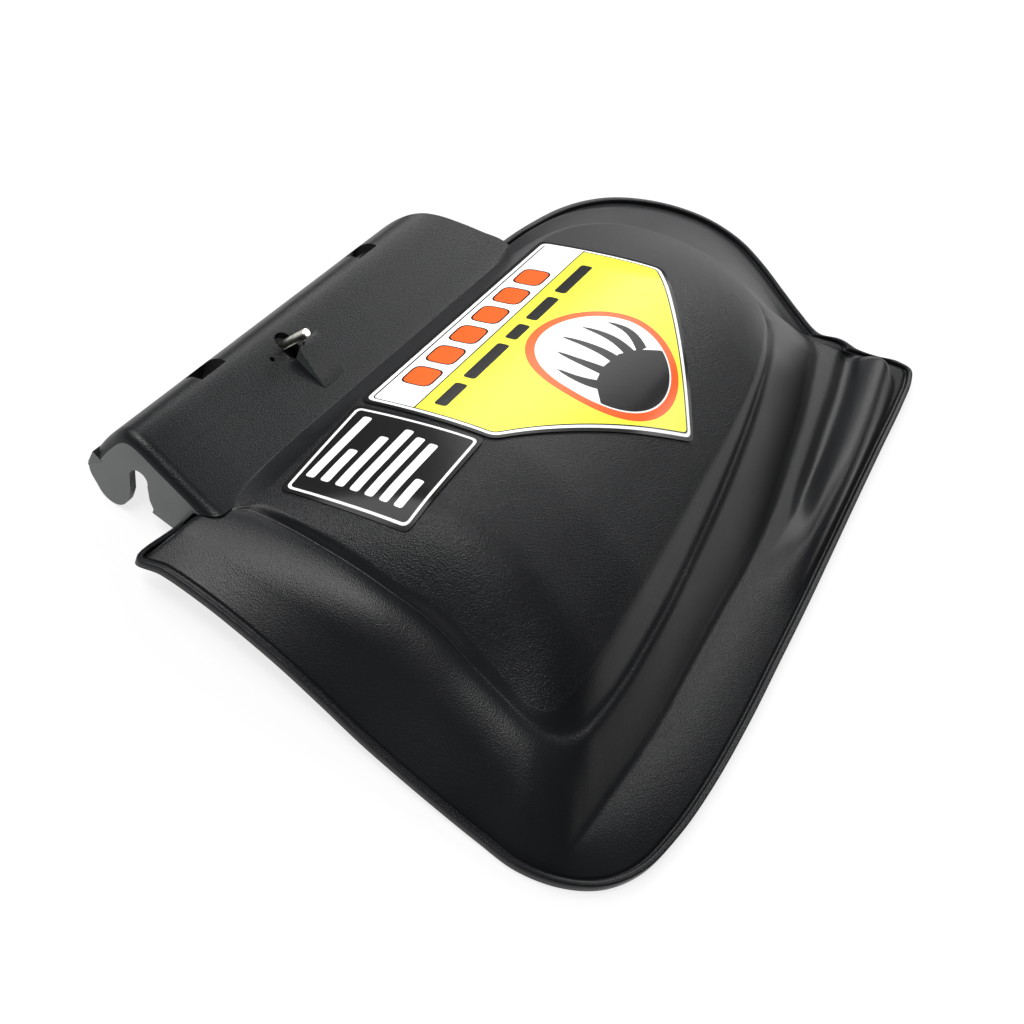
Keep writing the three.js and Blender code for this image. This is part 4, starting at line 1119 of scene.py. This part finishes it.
def large_label():
    edge_corner, white_corner, line_corner, field_corner, band_corner = LABEL_CORNERS
    white = rounded_outline(offset_outline(LARGE_LABEL, LABEL_BORDER), white_corner)
    line = rounded_outline(offset_outline(LARGE_LABEL, LINE_INSET), line_corner)
    field = rounded_outline(offset_outline(LARGE_LABEL, FIELD_INSET), field_corner)
    low_y = min(p[1] for p in field)
    high_y = max(p[1] for p in field)
    left_x = min(p[0] for p in field)
    band = rounded_outline(rectangle(left_x, BAND_EDGE_X, low_y, high_y), band_corner)
    half = BAND_LINE_WIDTH / 2
    band_line = rectangle(BAND_EDGE_X - half, BAND_EDGE_X + half, low_y, high_y)
    shapes = [(white, WHITE), (line, BLACK), (field, YELLOW), (band, WHITE), (band_line, BLACK)]
    shapes += band_shapes()
    shapes.append((circle(RING_CENTRE, RING_RADIUS), ORANGE))
    shapes.append((circle(RING_CENTRE, RING_RADIUS - RING_BAND), WHITE))
    shapes += leaf_shapes()
    return printed_sheet("large_label_print", rounded_outline(LARGE_LABEL, edge_corner), shapes)


def small_label():
    edge_corner, white_corner, field_corner = SMALL_LABEL_CORNERS
    white = rounded_outline(offset_outline(SMALL_LABEL, LABEL_BORDER), white_corner)
    field = rounded_outline(offset_outline(SMALL_LABEL, SMALL_FIELD_INSET), field_corner)
    shapes = [(white, WHITE), (field, BLACK)]
    for k, end in enumerate(SMALL_BAR_ENDS):
        shapes.append((bar(SMALL_BAR_X + k * SMALL_BAR_PITCH, SMALL_BAR_START, end, SMALL_BAR_WIDTH), WHITE))
    return printed_sheet("small_label_print", rounded_outline(SMALL_LABEL, edge_corner), shapes)


large = large_label()
use(large, black_print, white_print, yellow_print, orange_print)
small = small_label()
use(small, black_print, white_print)

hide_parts("cover")
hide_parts("torsion_spring")
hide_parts("large_label")
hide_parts("small_label")
pieces = ((plate, "moulding"), (hinge, "moulding"), (spring, "spring_steel"), (large, "large_label"),
          (small, "small_label"))
for piece, slot in pieces:
    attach(piece, "root")


# Camera, floor and lights, in metres
CLIP_START = 0.01
CLIP_END = 50
FLOOR_HALF_WIDTH = 6.0
FLOOR_GAP = 0.0005
# How much of what the camera and reflections see of the floor is plain white
FLOOR_GLOW_SHARE = 0.8
# Lamps: name, place, the point each looks at, width and height, and power
LAMPS = (
    ("window_behind", (-0.5, 1.2, 0.85), (0, 0, 0.03), (1.5, 0.7), 18),
    ("soft_left", (-1.0, -0.25, 1.25), (0, 0, 0.03), (0.8, 0.8), 16),
    ("soft_front", (-0.35, -0.65, 1.3), (0, -0.1, 0.03), (0.5, 0.4), 14),
    ("soft_right", (0.5, 0.95, 1.0), (0.09, -0.05, 0), (0.25, 0.6), 4.5),
)


def add_camera():
    data = bpy.data.cameras.new("camera")
    data.sensor_width = SENSOR_MM
    data.lens = FOCAL_PIXELS / PHOTO_PIXELS * SENSOR_MM
    data.clip_start = CLIP_START
    data.clip_end = CLIP_END
    camera = bpy.data.objects.new("camera", data)
    bpy.context.scene.collection.objects.link(camera)
    axes = [Vector(CAMERA_RIGHT), -Vector(CAMERA_DOWN), -Vector(CAMERA_FORWARD)]
    turn = Matrix((axes[0], axes[1], axes[2])).transposed()
    camera.matrix_world = Matrix.Translation(Vector(place([CAMERA_PLACE])[0])) @ turn.to_4x4()
    bpy.context.scene.camera = camera


def add_floor():
    half = FLOOR_HALF_WIDTH
    mesh = bpy.data.meshes.new("floor")
    corners = [(x, y, 0) for x, y in rectangle(-half, half, -half, half)]
    mesh.from_pydata(corners, [], [(0, 1, 2, 3)])
    floor = bpy.data.objects.new("floor", mesh)
    floor.location.z = -FLOOR_GAP
    bpy.context.scene.collection.objects.link(floor)
    material, nodes, links, shader = new_material("pale_floor")
    shader.inputs["Base Color"].default_value = (0.82, 0.82, 0.82, 1)
    shader.inputs["Roughness"].default_value = 0.8
    shader.inputs["Specular IOR Level"].default_value = 0.1
    glow = nodes.new("ShaderNodeEmission")
    glow.inputs["Color"].default_value = (1, 1, 1, 1)
    path = nodes.new("ShaderNodeLightPath")
    seen = math_node(nodes, links, "MAXIMUM", path.outputs["Is Camera Ray"], path.outputs["Is Glossy Ray"])
    seen = math_node(nodes, links, "MAXIMUM", seen.outputs["Value"], path.outputs["Is Transmission Ray"])
    share = math_node(nodes, links, "MULTIPLY", seen.outputs["Value"])
    share.inputs[1].default_value = FLOOR_GLOW_SHARE
    mix = nodes.new("ShaderNodeMixShader")
    links.new(share.outputs["Value"], mix.inputs["Fac"])
    links.new(shader.outputs["BSDF"], mix.inputs[1])
    links.new(glow.outputs["Emission"], mix.inputs[2])
    links.new(mix.outputs["Shader"], nodes["Material Output"].inputs["Surface"])
    use(floor, material)


def add_lamp(name, position, target, size, power):
    data = bpy.data.lights.new(name, "AREA")
    data.shape = "RECTANGLE"
    data.size, data.size_y = size
    data.energy = power
    lamp = bpy.data.objects.new(name, data)
    bpy.context.scene.collection.objects.link(lamp)
    lamp.location = position
    direction = Vector(target) - Vector(position)
    lamp.rotation_mode = "QUATERNION"
    lamp.rotation_quaternion = direction.to_track_quat("-Z", "Y")


def add_world():
    world = bpy.data.worlds.new("world")
    bpy.context.scene.world = world
    world.use_nodes = True
    world.node_tree.nodes["Background"].inputs["Color"].default_value = (0.95, 0.97, 1, 1)
    world.node_tree.nodes["Background"].inputs["Strength"].default_value = 0.07


add_camera()
add_floor()
for lamp in LAMPS:
    add_lamp(*lamp)
add_world()
bpy.context.scene.view_settings.view_transform = "Standard"
